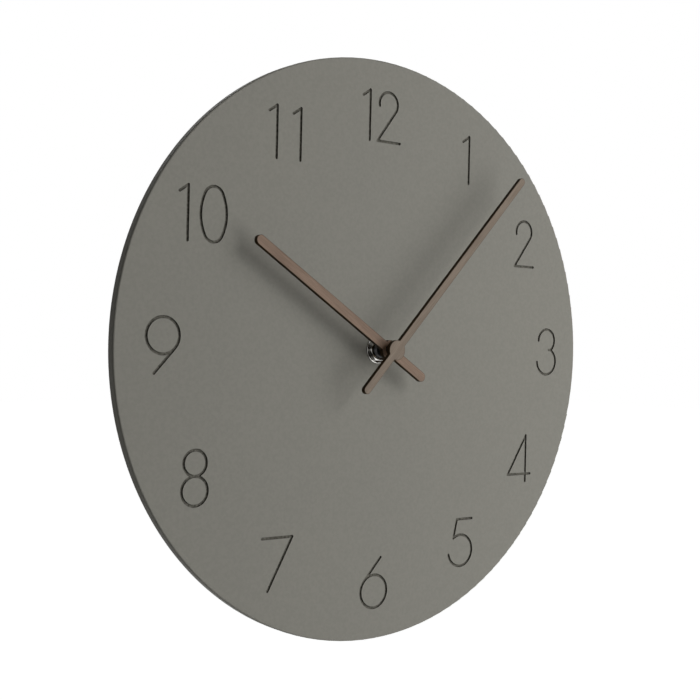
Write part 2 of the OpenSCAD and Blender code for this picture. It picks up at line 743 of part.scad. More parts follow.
module negative_contact() {
    back = -strip_x - contact_t;
    top = battery_at[1] + contact_w / 2;
    low = battery_at[1] - contact_w / 2;
    color("#c4bd9f") stood() {
        block([back, low], [back + contact_t, top], battery_z - contact_w / 2, battery_z + contact_w / 2);
        // Sprung leaf, folded forward to the flat end of the battery
        translate([0, 0, battery_z - contact_w / 4]) linear_extrude(contact_w / 2)
            polygon([[back, low], [back + contact_t, low], [-strip_x + leaf_reach, battery_at[1]],
                [back + contact_t, top], [back, top], [-strip_x + leaf_reach - contact_t, battery_at[1]]]);
        block([back, battery_at[1]], [back + contact_t, circuit_low + tail_w], tail_z - tail_w, circuit_z);
        block([back, circuit_low], [circuit_x + tail_w, circuit_low + tail_w], tail_z, circuit_z);
    }
}

module circuit_board() {
    color("#2f6b45") stood() block([circuit_x, circuit_low], [circuit_x + circuit_w,
        circuit_low + circuit_h], circuit_z, plate_z);
}

// Cap of a sphere that is chip_h high on a foot of chip_r
module chip_cap() {
    ball = (chip_r^2 + chip_h^2) / (2 * chip_h);
    color("#141414") stood() intersection() {
        translate([circuit_x + circuit_w * chip_place_shares[0],
            circuit_low + circuit_h * chip_place_shares[1], circuit_z - chip_h + ball]) sphere(ball);
        block([circuit_x, circuit_low], [circuit_x + circuit_w, circuit_low + circuit_h],
            circuit_z - 2 * chip_h, circuit_z);
    }
}

module quartz_crystal() {
    color("#b9bcc0") stood() translate([circuit_x + circuit_w * crystal_place_shares[0],
        circuit_low + circuit_h * crystal_place_shares[1], circuit_z - crystal_r])
        rotate([-90, 0, 0]) cylinder(r = crystal_r, h = crystal_len);
}

// Turns what is drawn along z so that it lies along the coil, from the coil's left end
module along_coil() {
    translate([rotor_at[0] - coil_len / 2, coil_rise, coil_z]) rotate([0, 90, 0]) children();
}

module coil_bobbin() {
    color("#ded7c3") stood() along_coil() difference() {
        union() {
            cylinder(r = barrel_r, h = coil_len);
            for (z = [0, coil_len - flange_t]) translate([0, 0, z]) cylinder(r = flange_r, h = flange_t);
        }
        translate([-iron_t / 2 - seat_fit, -iron_w / 2 - seat_fit, -over])
            cube([iron_t + 2 * seat_fit, iron_w + 2 * seat_fit, coil_len + 2 * over]);
    }
}

module coil_winding() {
    color("#9c4f24") stood() along_coil() ring(winding_r, barrel_r + seat_fit, flange_t + seat_fit,
        coil_len - flange_t - seat_fit);
}

module coil_core() {
    reach = coil_len / 2 + iron_w;
    color("#8c8f92") stood() block([rotor_at[0] - reach, coil_rise - iron_w / 2],
        [rotor_at[0] + reach, coil_rise + iron_w / 2], core_z, core_z + iron_t);
}

// Sheet with a round hole for the magnet and an arm up to each end of the core
module stator() {
    reach = coil_len / 2 + iron_w;
    hole = magnet_r + magnet_gap;
    color("#8c8f92") stood() translate([0, 0, stator_z]) linear_extrude(iron_t) difference() {
        union() {
            translate(rotor_at) circle(hole + iron_w / 2);
            translate([rotor_at[0] - reach, rotor_at[1] - iron_w / 2]) square([2 * reach, iron_w]);
            for (x = [rotor_at[0] - reach, rotor_at[0] + reach - iron_w])
                translate([x, rotor_at[1] - iron_w / 2])
                    square([iron_w, coil_rise - rotor_at[1] + iron_w]);
        }
        translate(rotor_at) circle(hole);
    }
}

module rotor_magnet() {
    color("#55585c") stood() at(rotor_at)
        ring(magnet_r, rotor_core_r + seat_fit, magnet_low, magnet_low + magnet_len);
}

module rotor_pinion() {
    color("#e8e4da") stood() at(rotor_at) {
        ring(rotor_pivot_r, 0, cover_t + play, plate_z + plate_t - play);
        ring(rotor_core_r, 0, magnet_low, between_z - play);
        toothed(rotor_teeth, rotor_mod, rotor_turn, between_z - play, between_z + wheel_t + play);
    }
}

module intermediate_wheel() {
    color("#e8e4da") stood() at(between_at) difference() {
        union() {
            toothed(between_teeth[0], rotor_mod, between_wheel_turn, between_z, between_z + wheel_t);
            toothed(between_teeth[1], second_mod, between_pinion_turn, second_z - play, third_z);
            ring(pivot_r + wheel_gap, 0, third_z, between_z);
        }
        translate([0, 0, boss_top]) cylinder(r = pivot_r + run_fit, h = centre_z - boss_top);
    }
}

module second_wheel() {
    color("#d8d2c2") stood() {
        ring(second_arbor_r, 0, cover_t + play, centre_z + second_arbor_len);
        ring(pivot_r + wheel_gap, 0, boss_top + play, second_z);
        toothed(second_teeth[0], second_mod, second_wheel_turn, second_z, second_z + wheel_t);
        toothed(second_teeth[1], third_mod, second_pinion_turn, second_z + wheel_t, centre_z - wheel_gap);
    }
}

module third_wheel() {
    color("#e8e4da") stood() at(third_at) {
        ring(pivot_r, 0, cover_t + play, plate_z + plate_t - play);
        ring(pivot_r + play, 0, boss_top + play, centre_z - play);
        toothed(third_teeth[0], third_mod, third_wheel_turn, third_z, third_z + wheel_t);
        toothed(third_teeth[1], centre_mod, third_pinion_turn, centre_z - play, clutch_z + clutch_t);
    }
}

module centre_wheel() {
    color("#c9a24a") stood() difference() {
        toothed(centre_teeth, centre_mod, centre_turn, centre_z, centre_z + wheel_t);
        translate([0, 0, centre_z - over]) cylinder(r = clutch_r + run_fit, h = wheel_t + 2 * over);
    }
}

module clutch_spring() {
    color("#b9bcc0") stood() ring(clutch_spring_r, clutch_r + seat_fit, clutch_z + run_fit, collar_z);
}

module minute_arbor() {
    color("#b39a58") stood() difference() {
        union() {
            ring(clutch_r + play, 0, centre_z - wheel_gap + play / 2, centre_z - play / 2);
            ring(clutch_r, 0, centre_z - wheel_gap + play / 2, collar_z);
            ring(collar_r, 0, collar_z, collar_z + collar_t);
            ring(journal_r, 0, collar_z, plate_z + plate_t + play / 2);
            toothed(minute_teeth, minute_mod, minute_pinion_turn, plate_z + plate_t,
                hour_z - wheel_gap);
            ring(minute_arbor_r, 0, plate_z, minute_hand_z - play);
        }
        translate([0, 0, centre_z - wheel_gap]) cylinder(r = second_arbor_r + run_fit,
            h = wheel_gap + second_arbor_len + play);
    }
}

module motion_wheel() {
    color("#e8e4da") stood() at(motion_at) difference() {
        union() {
            toothed(motion_teeth[0], minute_mod, motion_wheel_turn, motion_z, motion_z + motion_t);
            toothed(motion_teeth[1], hour_mod, motion_pinion_turn, motion_z, inner_z - 2 * wheel_gap);
        }
        translate([0, 0, motion_z - over]) cylinder(r = post_r + run_fit, h = inner_z - motion_z);
    }
}

module hour_wheel() {
    color("#e8e4da") stood() difference() {
        union() {
            toothed(hour_teeth, hour_mod, hour_wheel_turn, hour_z, hour_z + motion_t);
            ring(hour_tube_r, 0, hour_z, hour_hand_z + hand_t + play);
        }
        translate([0, 0, hour_z - over]) cylinder(r = minute_arbor_r + run_fit,
            h = hour_hand_z + hand_t + play - hour_z + 2 * over);
    }
}

module setting_pinion() {
    color("#d8d2c2") stood() at(setting_at) {
        ring(setting_r, 0, 2 * play, motion_z);
        toothed(setting_teeth, minute_mod, setting_turn, motion_z - play, motion_z + motion_t + play);
    }
}

// Knob with a ring of finger grooves, pressed on the setting shaft
module setting_knob() {
    color("#303030") stood() at(setting_at) translate([0, 0, play]) difference() {
        cylinder(r = knob_r, h = knob_t);
        translate([0, 0, play]) cylinder(r = setting_r + seat_fit, h = knob_t);
        for (i = [1 : knob_grooves]) rotate([0, 0, i * 360 / knob_grooves])
            translate([knob_r, 0, -over]) cylinder(r = knob_groove, h = knob_t + 2 * over);
    }
}

dial_board();
rubber_washer();
front_washer();
hex_nut();
threaded_neck();
hour_hand();
hour_hand_bush();
minute_hand();
minute_hand_bush();
front_case();
rear_cover();
train_plate();
battery();
positive_contact();
negative_contact();
circuit_board();
chip_cap();
quartz_crystal();
coil_bobbin();
coil_winding();
coil_core();
stator();
rotor_magnet();
rotor_pinion();
intermediate_wheel();
second_wheel();
third_wheel();
centre_wheel();
clutch_spring();
minute_arbor();
motion_wheel();
hour_wheel();
setting_pinion();
setting_knob();
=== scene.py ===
"""Looks of a round wooden wall clock: finishes, and pieces with their finer shapes, on its CAD model.

Everything is in metres. X runs to the right and Z up as the dial is read, and the dial faces -Y.
A place on a piece is often given face on: x to the right, y up and h out from the wall.
"""

import json
import math

import bmesh
import bpy
import numpy as np
from bpy.props import FloatProperty, FloatVectorProperty, IntProperty, PointerProperty
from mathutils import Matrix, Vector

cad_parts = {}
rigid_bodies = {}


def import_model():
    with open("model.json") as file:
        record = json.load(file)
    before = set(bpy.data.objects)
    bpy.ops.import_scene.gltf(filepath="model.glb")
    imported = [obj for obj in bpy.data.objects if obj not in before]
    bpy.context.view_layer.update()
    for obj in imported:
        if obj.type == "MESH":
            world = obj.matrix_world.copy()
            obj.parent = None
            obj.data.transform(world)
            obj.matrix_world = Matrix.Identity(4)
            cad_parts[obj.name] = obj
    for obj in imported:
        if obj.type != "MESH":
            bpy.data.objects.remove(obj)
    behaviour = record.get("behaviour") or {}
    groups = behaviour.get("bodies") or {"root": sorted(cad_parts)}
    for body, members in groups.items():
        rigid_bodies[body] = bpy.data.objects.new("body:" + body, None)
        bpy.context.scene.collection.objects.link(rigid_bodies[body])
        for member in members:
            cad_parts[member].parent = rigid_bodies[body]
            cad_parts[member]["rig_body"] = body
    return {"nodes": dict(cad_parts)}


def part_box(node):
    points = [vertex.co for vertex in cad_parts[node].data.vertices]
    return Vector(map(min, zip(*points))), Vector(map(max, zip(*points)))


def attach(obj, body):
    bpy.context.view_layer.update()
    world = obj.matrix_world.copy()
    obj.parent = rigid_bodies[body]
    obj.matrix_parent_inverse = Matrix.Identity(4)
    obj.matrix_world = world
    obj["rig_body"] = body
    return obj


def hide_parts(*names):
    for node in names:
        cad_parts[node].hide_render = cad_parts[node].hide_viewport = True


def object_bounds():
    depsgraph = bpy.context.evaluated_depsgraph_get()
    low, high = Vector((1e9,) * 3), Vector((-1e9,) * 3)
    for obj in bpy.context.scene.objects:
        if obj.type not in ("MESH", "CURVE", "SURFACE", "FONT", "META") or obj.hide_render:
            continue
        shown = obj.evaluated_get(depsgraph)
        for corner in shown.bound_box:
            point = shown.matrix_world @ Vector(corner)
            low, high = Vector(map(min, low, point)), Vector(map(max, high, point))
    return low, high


bl_info = {
    "name": "Round wooden wall clock",
    "version": (1, 0, 0),
    "blender": (4, 5, 0),
    "location": "3D View > Sidebar > Wall clock",
    "description": "Dresses the CAD model of a round wall clock with wooden hands",
    "category": "Object",
}

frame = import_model()
NODES = frame["nodes"]
CAD_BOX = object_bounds()

ROUND_STEPS = 96
ARC_STEPS = 5
SHARP_ANGLE = math.radians(38)
WASHER_BORE = 0.0042

SENSOR_WIDTH = 36
CAMERA_PLACE = (-0.38891, -0.50687, -0.00176)
CAMERA_DEGREES = (90.1271, -1.2733, -37.4448)
FLOOR_HALF = 30.0
# Each lamp's place, width and height
KEY_LAMP = ((0.77, -2.12, 1.30), 0.8, 0.8)
SIDE_LAMP = ((0.70, -0.84, 0.00), 1.0, 1.8)
BACK_LAMP = ((0.35, 1.90, 0.10), 0.8, 2.0)


# Properties


def length(name, description, default):
    return FloatProperty(
        name=name,
        description=description,
        default=default,
        min=0,
        precision=5,
        subtype="DISTANCE",
        unit="LENGTH",
    )


def colour(name, description, default):
    return FloatVectorProperty(
        name=name,
        description=description,
        default=default,
        min=0,
        max=1,
        size=3,
        subtype="COLOR",
    )


def share(name, description, default):
    return FloatProperty(
        name=name, description=description, default=default, min=0, subtype="FACTOR"
    )


class ClockSizes(bpy.types.PropertyGroup):
    """Sizes of the pieces that the scene makes finer than the CAD model."""

    minute_reach: length("Minute hand", "From the shaft axis to its tip", 0.1305)
    minute_tail: length("Minute hand tail", "From the shaft axis to its end", 0.0295)
    minute_width: length("Minute hand width", "Beside its boss", 0.0042)
    minute_tip: length("Minute hand tip width", "At its tip", 0.0041)
    hour_reach: length("Hour hand", "From the shaft axis to its tip", 0.0970)
    hour_tail: length("Hour hand tail", "From the shaft axis to its end", 0.0280)
    hour_width: length("Hour hand width", "Beside its boss", 0.0051)
    hour_tip: length("Hour hand tip width", "At its tip", 0.0050)
    hand_boss: length("Hand boss", "Radius of the round boss of each hand", 0.0051)
    hand_hole: length("Hour hand hole", "Radius of the hole on the tube", 0.00257)
    hand_soft: length("Hand edge", "Rounding of the edges of the hands", 0.00016)
    minute_turn: FloatProperty(
        name="Minute hand turn",
        description="Place of the minute hand, clockwise from the twelve",
        default=math.radians(42.6),
        subtype="ANGLE",
        unit="ROTATION",
    )
    hour_turn: FloatProperty(
        name="Hour hand turn",
        description="Place of the hour hand, clockwise from the twelve",
        default=math.radians(302.3),
        subtype="ANGLE",
        unit="ROTATION",
    )
    washer_soft: length("Washer edge", "Rounding of the washer's edges", 0.00022)
    nut_flats: length("Nut flats", "Width of the nut across its flats", 0.011)
    nut_chamfer: length("Nut chamfer", "Drop of the chamfer at a corner", 0.00035)
    nut_round: length("Nut corners", "Cut taken off each corner", 0.00012)
    thread_pitch: length("Thread pitch", "Rise of the neck's thread in a turn", 0.00075)
    thread_depth: length("Thread depth", "Depth of the neck's thread", 0.00036)
    case_soft: length("Case edge", "Rounding of the edges of the case", 0.00028)
    knob_grooves: IntProperty(
        name="Knob grooves",
        description="Count of the finger grooves around the knob",
        default=24,
        min=0,
    )
    knob_groove: length("Knob groove", "Depth of those grooves", 0.0004)
    knob_dish: length("Knob dish", "Depth of the hollow in the knob's face", 0.0004)


class ClockColours(bpy.types.PropertyGroup):
    """Colours of the finishes."""

    paint: colour("Dial paint", "Matt paint of the board", (0.228, 0.222, 0.194))
    engraving: colour("Engraving", "Bottom of the numerals", (0.118, 0.113, 0.095))
    fibreboard: colour("Fibreboard", "Bare back of the board", (0.36, 0.235, 0.135))
    # Both hands are one veneer: the difference between these two face tones is painted light and shade
    hour_wood_with_painted_light: colour("Hour hand wood with painted light", "Face of the hour hand", (0.258, 0.184, 0.137))
    minute_wood_with_painted_light: colour(
        "Minute hand wood with painted light", "Face of the minute hand", (0.230, 0.190, 0.149)
    )
    wood_dark: colour("Wood fibres", "Dark fibres of the hands", (0.135, 0.088, 0.063))
    burnt: colour("Burnt edge", "Cut sides of the hands", (0.020, 0.011, 0.003))
    # Darker than bright nickel: the dark surroundings that the nut and washer reflect are painted into
    # this colour
    nickel_darkened_for_painted_reflection: colour("Nickel darkened for painted reflection", "Nut and washer", (0.30, 0.295, 0.28))
    brass: colour("Brass", "Bushes and arbor", (0.56, 0.40, 0.17))
    rubber: colour("Rubber", "Washer behind the board", (0.012, 0.012, 0.012))
    case: colour("Case plastic", "Case, cover and knob", (0.014, 0.014, 0.015))
    acetal: colour("Acetal", "Wheels and plate", (0.72, 0.69, 0.60))
    sleeve: colour("Battery sleeve", "Long part of the sleeve", (0.030, 0.042, 0.052))
    band: colour("Battery band", "Band by the button", (0.42, 0.30, 0.16))
    steel: colour("Steel", "Contacts and battery ends", (0.58, 0.57, 0.54))
    circuit: colour("Circuit", "Solder mask", (0.012, 0.085, 0.032))
    resin: colour("Chip resin", "Cap of the chip", (0.008, 0.008, 0.008))
    copper: colour("Copper wire", "Winding", (0.45, 0.15, 0.05))
    iron: colour("Soft iron", "Core and stator", (0.36, 0.36, 0.36))
    magnet: colour("Magnet", "Rotor magnet", (0.035, 0.035, 0.038))


class ClockStage(bpy.types.PropertyGroup):
    """Camera and light."""

    lens: FloatProperty(
        name="Lens",
        description="Focal length on a sensor 36 mm wide",
        default=61.6005,
        subtype="DISTANCE_CAMERA",
        unit="CAMERA",
    )
    key: FloatProperty(
        name="Key lamp",
        description="Power of the lamp in front, above on the right",
        default=6.5,
        subtype="POWER",
        unit="POWER",
    )
    side: FloatProperty(
        name="Side lamp",
        description="Power of the large soft lamp close by on the right",
        default=14.7,
        subtype="POWER",
        unit="POWER",
    )
    back: FloatProperty(
        name="Back lamp",
        description="Power of the tall lamp behind, which lights the movement",
        default=30,
        subtype="POWER",
        unit="POWER",
    )
    ambient: share("Ambient", "Level of the light from all round", 0.08)
    floor_drop: length("Floor", "Depth of the floor under the shaft axis", 1.5)


def sizes():
    return bpy.context.scene.clock_sizes


def colours():
    return bpy.context.scene.clock_colours


def stage():
    return bpy.context.scene.clock_stage


# Meshes


def face_on(x, y, h):
    """World places of points given face on: x stays, y becomes z, and h becomes -y."""
    x, y, h = np.broadcast_arrays(x, y, h)
    return np.stack([x, -h, y], axis=-1)


def grid_faces(rows, columns, wrap_rows, wrap_columns):
    """Corners of the quads between neighbours of a grid whose points are counted row by row.

    A wrapped grid also joins its last row or column to its first.
    """
    down = np.arange(rows if wrap_rows else rows - 1)[:, None]
    across = np.arange(columns if wrap_columns else columns - 1)[None, :]
    under, beside = (down + 1) % rows, (across + 1) % columns
    corners = [
        down * columns + across,
        down * columns + beside,
        under * columns + beside,
        under * columns + across,
    ]
    return np.stack([np.broadcast_to(c, (down.size, across.size)) for c in corners], -1)


def finish_mesh(name, points, faces, attributes=None, uv=None, sharp=SHARP_ANGLE):
    """A mesh object of those points and quads, its doubles merged and its faces turned outwards."""
    mesh = bpy.data.meshes.new(name)
    points, faces = points.reshape(-1, 3), faces.reshape(-1, 4)
    mesh.from_pydata(points.tolist(), [], faces.tolist())
    for key, values in (attributes or {}).items():
        made = mesh.attributes.new(key, "FLOAT", "POINT")
        made.data.foreach_set("value", np.ravel(values).astype(np.float32))
    if uv is not None:
        layer = mesh.uv_layers.new(name="along")
        corners = uv.reshape(-1, 2)[faces.ravel()]
        layer.data.foreach_set("uv", corners.astype(np.float32).ravel())
    work = bmesh.new()
    work.from_mesh(mesh)
    bmesh.ops.remove_doubles(work, verts=work.verts, dist=1e-8)
    bmesh.ops.dissolve_degenerate(work, edges=work.edges, dist=1e-9)
    bmesh.ops.recalc_face_normals(work, faces=work.faces)
    work.to_mesh(mesh)
    work.free()
    mesh.shade_smooth()
    mesh.set_sharp_from_angle(angle=sharp)
    piece = bpy.data.objects.new(name, mesh)
    bpy.context.scene.collection.objects.link(piece)
    return piece


def place_piece(piece, nodes, slot, *materials):
    """Puts the piece in place of CAD nodes of one body, with its finish."""
    for material in materials:
        piece.data.materials.append(material)
    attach(piece, NODES[nodes[0]]["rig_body"])
    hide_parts(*nodes)


def finish_nodes(material, *names):
    """Gives CAD nodes that keep their own mesh a material."""
    for name in names:
        slots = NODES[name].data.materials
        slots.clear()
        slots.append(material)


def arc(middle, radius, start, end, steps=ARC_STEPS):
    """Places on an arc: the middle plus the radius times the cosine and sine of even angles."""
    angles = np.radians(np.linspace(start, end, steps))
    return np.stack(
        [middle[0] + radius * np.cos(angles), middle[1] + radius * np.sin(angles)], -1
    )


def soft_ring(inner, outer, low, high, soft):
    """Section of a ring with rounded outer edges, as radius and height, from its bore round and back.

    Each flat has a second point close to its rounded edge, which keeps the shading of the flat even.
    """
    hold = 1.6 * soft
    return np.concatenate(
        [
            [(inner, high), (outer - hold, high)],
            arc((outer - soft, high - soft), soft, 90, 0),
            arc((outer - soft, low + soft), soft, 0, -90),
            [(outer - hold, low), (inner, low)],
        ]
    )


def turned(name, section, closed=True, swell=None, middle=(0, 0)):
    """A section turned about an axis square to the wall: x = r cos a, y = r sin a, h from the section.

    swell(angle, radius, height) may change the radius. A closed section wraps, and an open one
    ends on the axis.
    """
    angle = np.linspace(0, 2 * np.pi, ROUND_STEPS, endpoint=False)[:, None]
    radius, height = section[None, :, 0], section[None, :, 1]
    if swell is not None:
        radius = swell(angle, radius, height)
    points = face_on(
        middle[0] + radius * np.cos(angle), middle[1] + radius * np.sin(angle), height
    )
    faces = grid_faces(ROUND_STEPS, len(section), True, closed)
    return finish_mesh(name, points, faces)


def heights(node):
    """Rear and front of a CAD node as heights from the wall."""
    low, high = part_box(node)
    return -high.y, -low.y


def middle_of(node):
    """Middle of a CAD node, face on."""
    low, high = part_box(node)
    return (low.x + high.x) / 2, (low.z + high.z) / 2


# Materials


def add(tree, kind, inputs=None, **settings):
    """Adds a node with those settings, and sets or links its inputs by name or number."""
    made = tree.nodes.new(kind)
    for key, value in settings.items():
        setattr(made, key, value)
    for key, value in (inputs or {}).items():
        if isinstance(value, bpy.types.NodeSocket):
            tree.links.new(value, made.inputs[key])
        else:
            made.inputs[key].default_value = value
    return made


def maths(tree, operation, *values):
    """Output of a Math node."""
    made = add(
        tree, "ShaderNodeMath", dict(enumerate(values)), operation=operation
    )
    return made.outputs[0]


def ramp(tree, value, low, high, start=0.0, end=1.0):
    """Output of a smooth Map Range node from low..high to start..end."""
    inputs = {
        "Value": value,
        "From Min": low,
        "From Max": high,
        "To Min": start,
        "To Max": end,
    }
    return add(
        tree, "ShaderNodeMapRange", inputs, interpolation_type="SMOOTHSTEP"
    ).outputs[0]


def drifted(tree, tone, start=0.0, end=1.0):
    """From start to end as a noise goes through its middle range."""
    return ramp(tree, tone, 0.3, 0.7, start, end)


def mixed(tree, mask, first, second, blend="MIX"):
    """Colour output of a Mix node."""
    made = add(tree, "ShaderNodeMix", data_type="RGBA", blend_type=blend)
    for key, value in ((0, mask), (6, first), (7, second)):
        if isinstance(value, bpy.types.NodeSocket):
            tree.links.new(value, made.inputs[key])
        elif key == 0:
            made.inputs[key].default_value = value
        else:
            made.inputs[key].default_value = (*value, 1)
    return made.outputs[2]


def noise(tree, vector, scale, detail=3.0, rough=0.5):
    """Output of a Noise Texture node."""
    inputs = {"Vector": vector, "Scale": scale, "Detail": detail, "Roughness": rough}
    return add(tree, "ShaderNodeTexNoise", inputs).outputs["Fac"]


def from_axis(tree, vector):
    """Distance of a place from the shaft axis, which lies along Y."""
    flat = add(
        tree, "ShaderNodeVectorMath", {0: vector, 1: (1, 0, 1)}, operation="MULTIPLY"
    ).outputs[0]
    made = add(tree, "ShaderNodeVectorMath", {0: flat}, operation="LENGTH")
    return made.outputs["Value"]


def new_group(name, inputs, outputs):
    """An empty node group with float sockets, or a vector one where its value is None."""
    tree = bpy.data.node_groups.new(name, "ShaderNodeTree")
    for key, value in inputs.items():
        kind = "NodeSocketVector" if value is None else "NodeSocketFloat"
        socket = tree.interface.new_socket(key, in_out="INPUT", socket_type=kind)
        if value is not None:
            socket.default_value = value
    for key in outputs:
        tree.interface.new_socket(key, in_out="OUTPUT", socket_type="NodeSocketFloat")
    given = tree.nodes.new("NodeGroupInput").outputs
    taken = tree.nodes.new("NodeGroupOutput").inputs
    return tree, given, taken


def use_group(tree, group, vector, **values):
    """Outputs of a group placed in a material."""
    inputs = {"Vector": vector, **{k.replace("_", " "): v for k, v in values.items()}}
    made = add(tree, "ShaderNodeGroup", node_tree=group)
    for key, value in inputs.items():
        if isinstance(value, bpy.types.NodeSocket):
            tree.links.new(value, made.inputs[key])
        else:
            made.inputs[key].default_value = value
    return made.outputs


def skin_group():
    """Fine skin: Height is a fine grain, Tone a slow drift over the surface, both near a half."""
    if "Fine skin" in bpy.data.node_groups:
        return bpy.data.node_groups["Fine skin"]
    tree, given, taken = new_group(
        "Fine skin", {"Vector": None, "Grain": 1500.0, "Drift": 20.0}, ("Height", "Tone")
    )
    fine = noise(tree, given["Vector"], given["Grain"], 4.0, 0.6)
    slow = noise(tree, given["Vector"], given["Drift"], 3.0)
    tree.links.new(fine, taken["Height"])
    tree.links.new(slow, taken["Tone"])
    return tree


def specks_group():
    """Specks: Mask is one in small spots, one to a cell, in the given share of the cells."""
    if "Specks" in bpy.data.node_groups:
        return bpy.data.node_groups["Specks"]
    tree, given, taken = new_group(
        "Specks", {"Vector": None, "Cells": 60.0, "Size": 0.02, "Share": 0.2}, ("Mask",)
    )
    cell = add(
        tree,
        "ShaderNodeTexVoronoi",
        {"Vector": given["Vector"], "Scale": given["Cells"]},
    )
    kept = maths(
        tree,
        "LESS_THAN",
        add(tree, "ShaderNodeSeparateColor", {0: cell.outputs["Color"]}).outputs[0],
        given["Share"],
    )
    inside = maths(tree, "LESS_THAN", cell.outputs["Distance"], given["Size"])
    tree.links.new(maths(tree, "MULTIPLY", kept, inside), taken["Mask"])
    return tree


def turned_group():
    """Turned marks: Height runs in fine rings about the shaft axis, Tone drifts from ring to ring."""
    if "Turned marks" in bpy.data.node_groups:
        return bpy.data.node_groups["Turned marks"]
    tree, given, taken = new_group(
        "Turned marks", {"Vector": None, "Rings": 6000.0}, ("Height", "Tone")
    )
    place = add(tree, "ShaderNodeSeparateXYZ", {0: given["Vector"]}).outputs[1]
    along = maths(tree, "ADD", from_axis(tree, given["Vector"]), place)
    rings = add(
        tree,
        "ShaderNodeTexNoise",
        {"W": along, "Scale": given["Rings"], "Detail": 2.0},
        noise_dimensions="1D",
    ).outputs["Fac"]
    slow = noise(tree, given["Vector"], 300.0)
    tree.links.new(rings, taken["Height"])
    tree.links.new(slow, taken["Tone"])
    return tree


def new_material(name, **values):
    """A material, its tree, its Principled shader with those values, and its Object coordinates."""
    material = bpy.data.materials.new(name)
    material.use_nodes = True
    tree = material.node_tree
    shader = tree.nodes["Principled BSDF"]
    for key, value in values.items():
        shader.inputs[key.replace("_", " ")].default_value = value
    vector = add(tree, "ShaderNodeTexCoord").outputs["Object"]
    return material, tree, shader, vector


def set_socket(tree, shader, key, value):
    """Links a value to a shader's socket."""
    tree.links.new(value, shader.inputs[key])


def set_bump(tree, shader, height, strength, distance):
    """Gives a shader the normals of a Bump node."""
    made = add(
        tree,
        "ShaderNodeBump",
        {"Height": height, "Strength": strength, "Distance": distance},
    )
    set_socket(tree, shader, "Normal", made.outputs[0])


def shaded(tree, base, tone, spread):
    """The colour a little darker and lighter as the tone drifts about a half."""
    dark = [c * (1 - spread) for c in base]
    light = [min(c * (1 + spread), 1) for c in base]
    return mixed(tree, drifted(tree, tone), dark, light)


def plastic(name, base, rough, grain=2600.0, depth=0.00003, spread=0.10, **values):
    """Moulded plastic or rubber with a fine grain, a slow drift of tone and a little dust."""
    material, tree, shader, vector = new_material(name, **values)
    skin = use_group(tree, skin_group(), vector, Grain=grain, Drift=60.0)
    dust = use_group(tree, specks_group(), vector, Cells=420.0, Size=0.09, Share=0.05)
    tint = shaded(tree, base, skin["Tone"], spread)
    pale = [min(c * 1.5 + 0.02, 1) for c in base]
    set_socket(tree, shader, "Base Color", mixed(tree, dust["Mask"], tint, pale))
    gloss = drifted(tree, skin["Tone"], rough - 0.05, rough + 0.07)
    set_socket(tree, shader, "Roughness", gloss)
    set_bump(tree, shader, skin["Height"], 0.5, depth)
    return material


def metal(name, base, rough, rings=5000.0, depth=0.000004, spread=0.08):
    """Plated or turned metal with fine rings, small changes of gloss and a trace of handling."""
    material, tree, shader, vector = new_material(name, Metallic=1.0)
    marks = use_group(tree, turned_group(), vector, Rings=rings)
    set_socket(tree, shader, "Base Color", shaded(tree, base, marks["Tone"], spread))
    gloss = ramp(tree, marks["Tone"], 0.35, 0.65, rough * 0.8, rough * 1.35)
    set_socket(tree, shader, "Roughness", gloss)
    set_bump(tree, shader, marks["Height"], 0.3, depth)
    return material


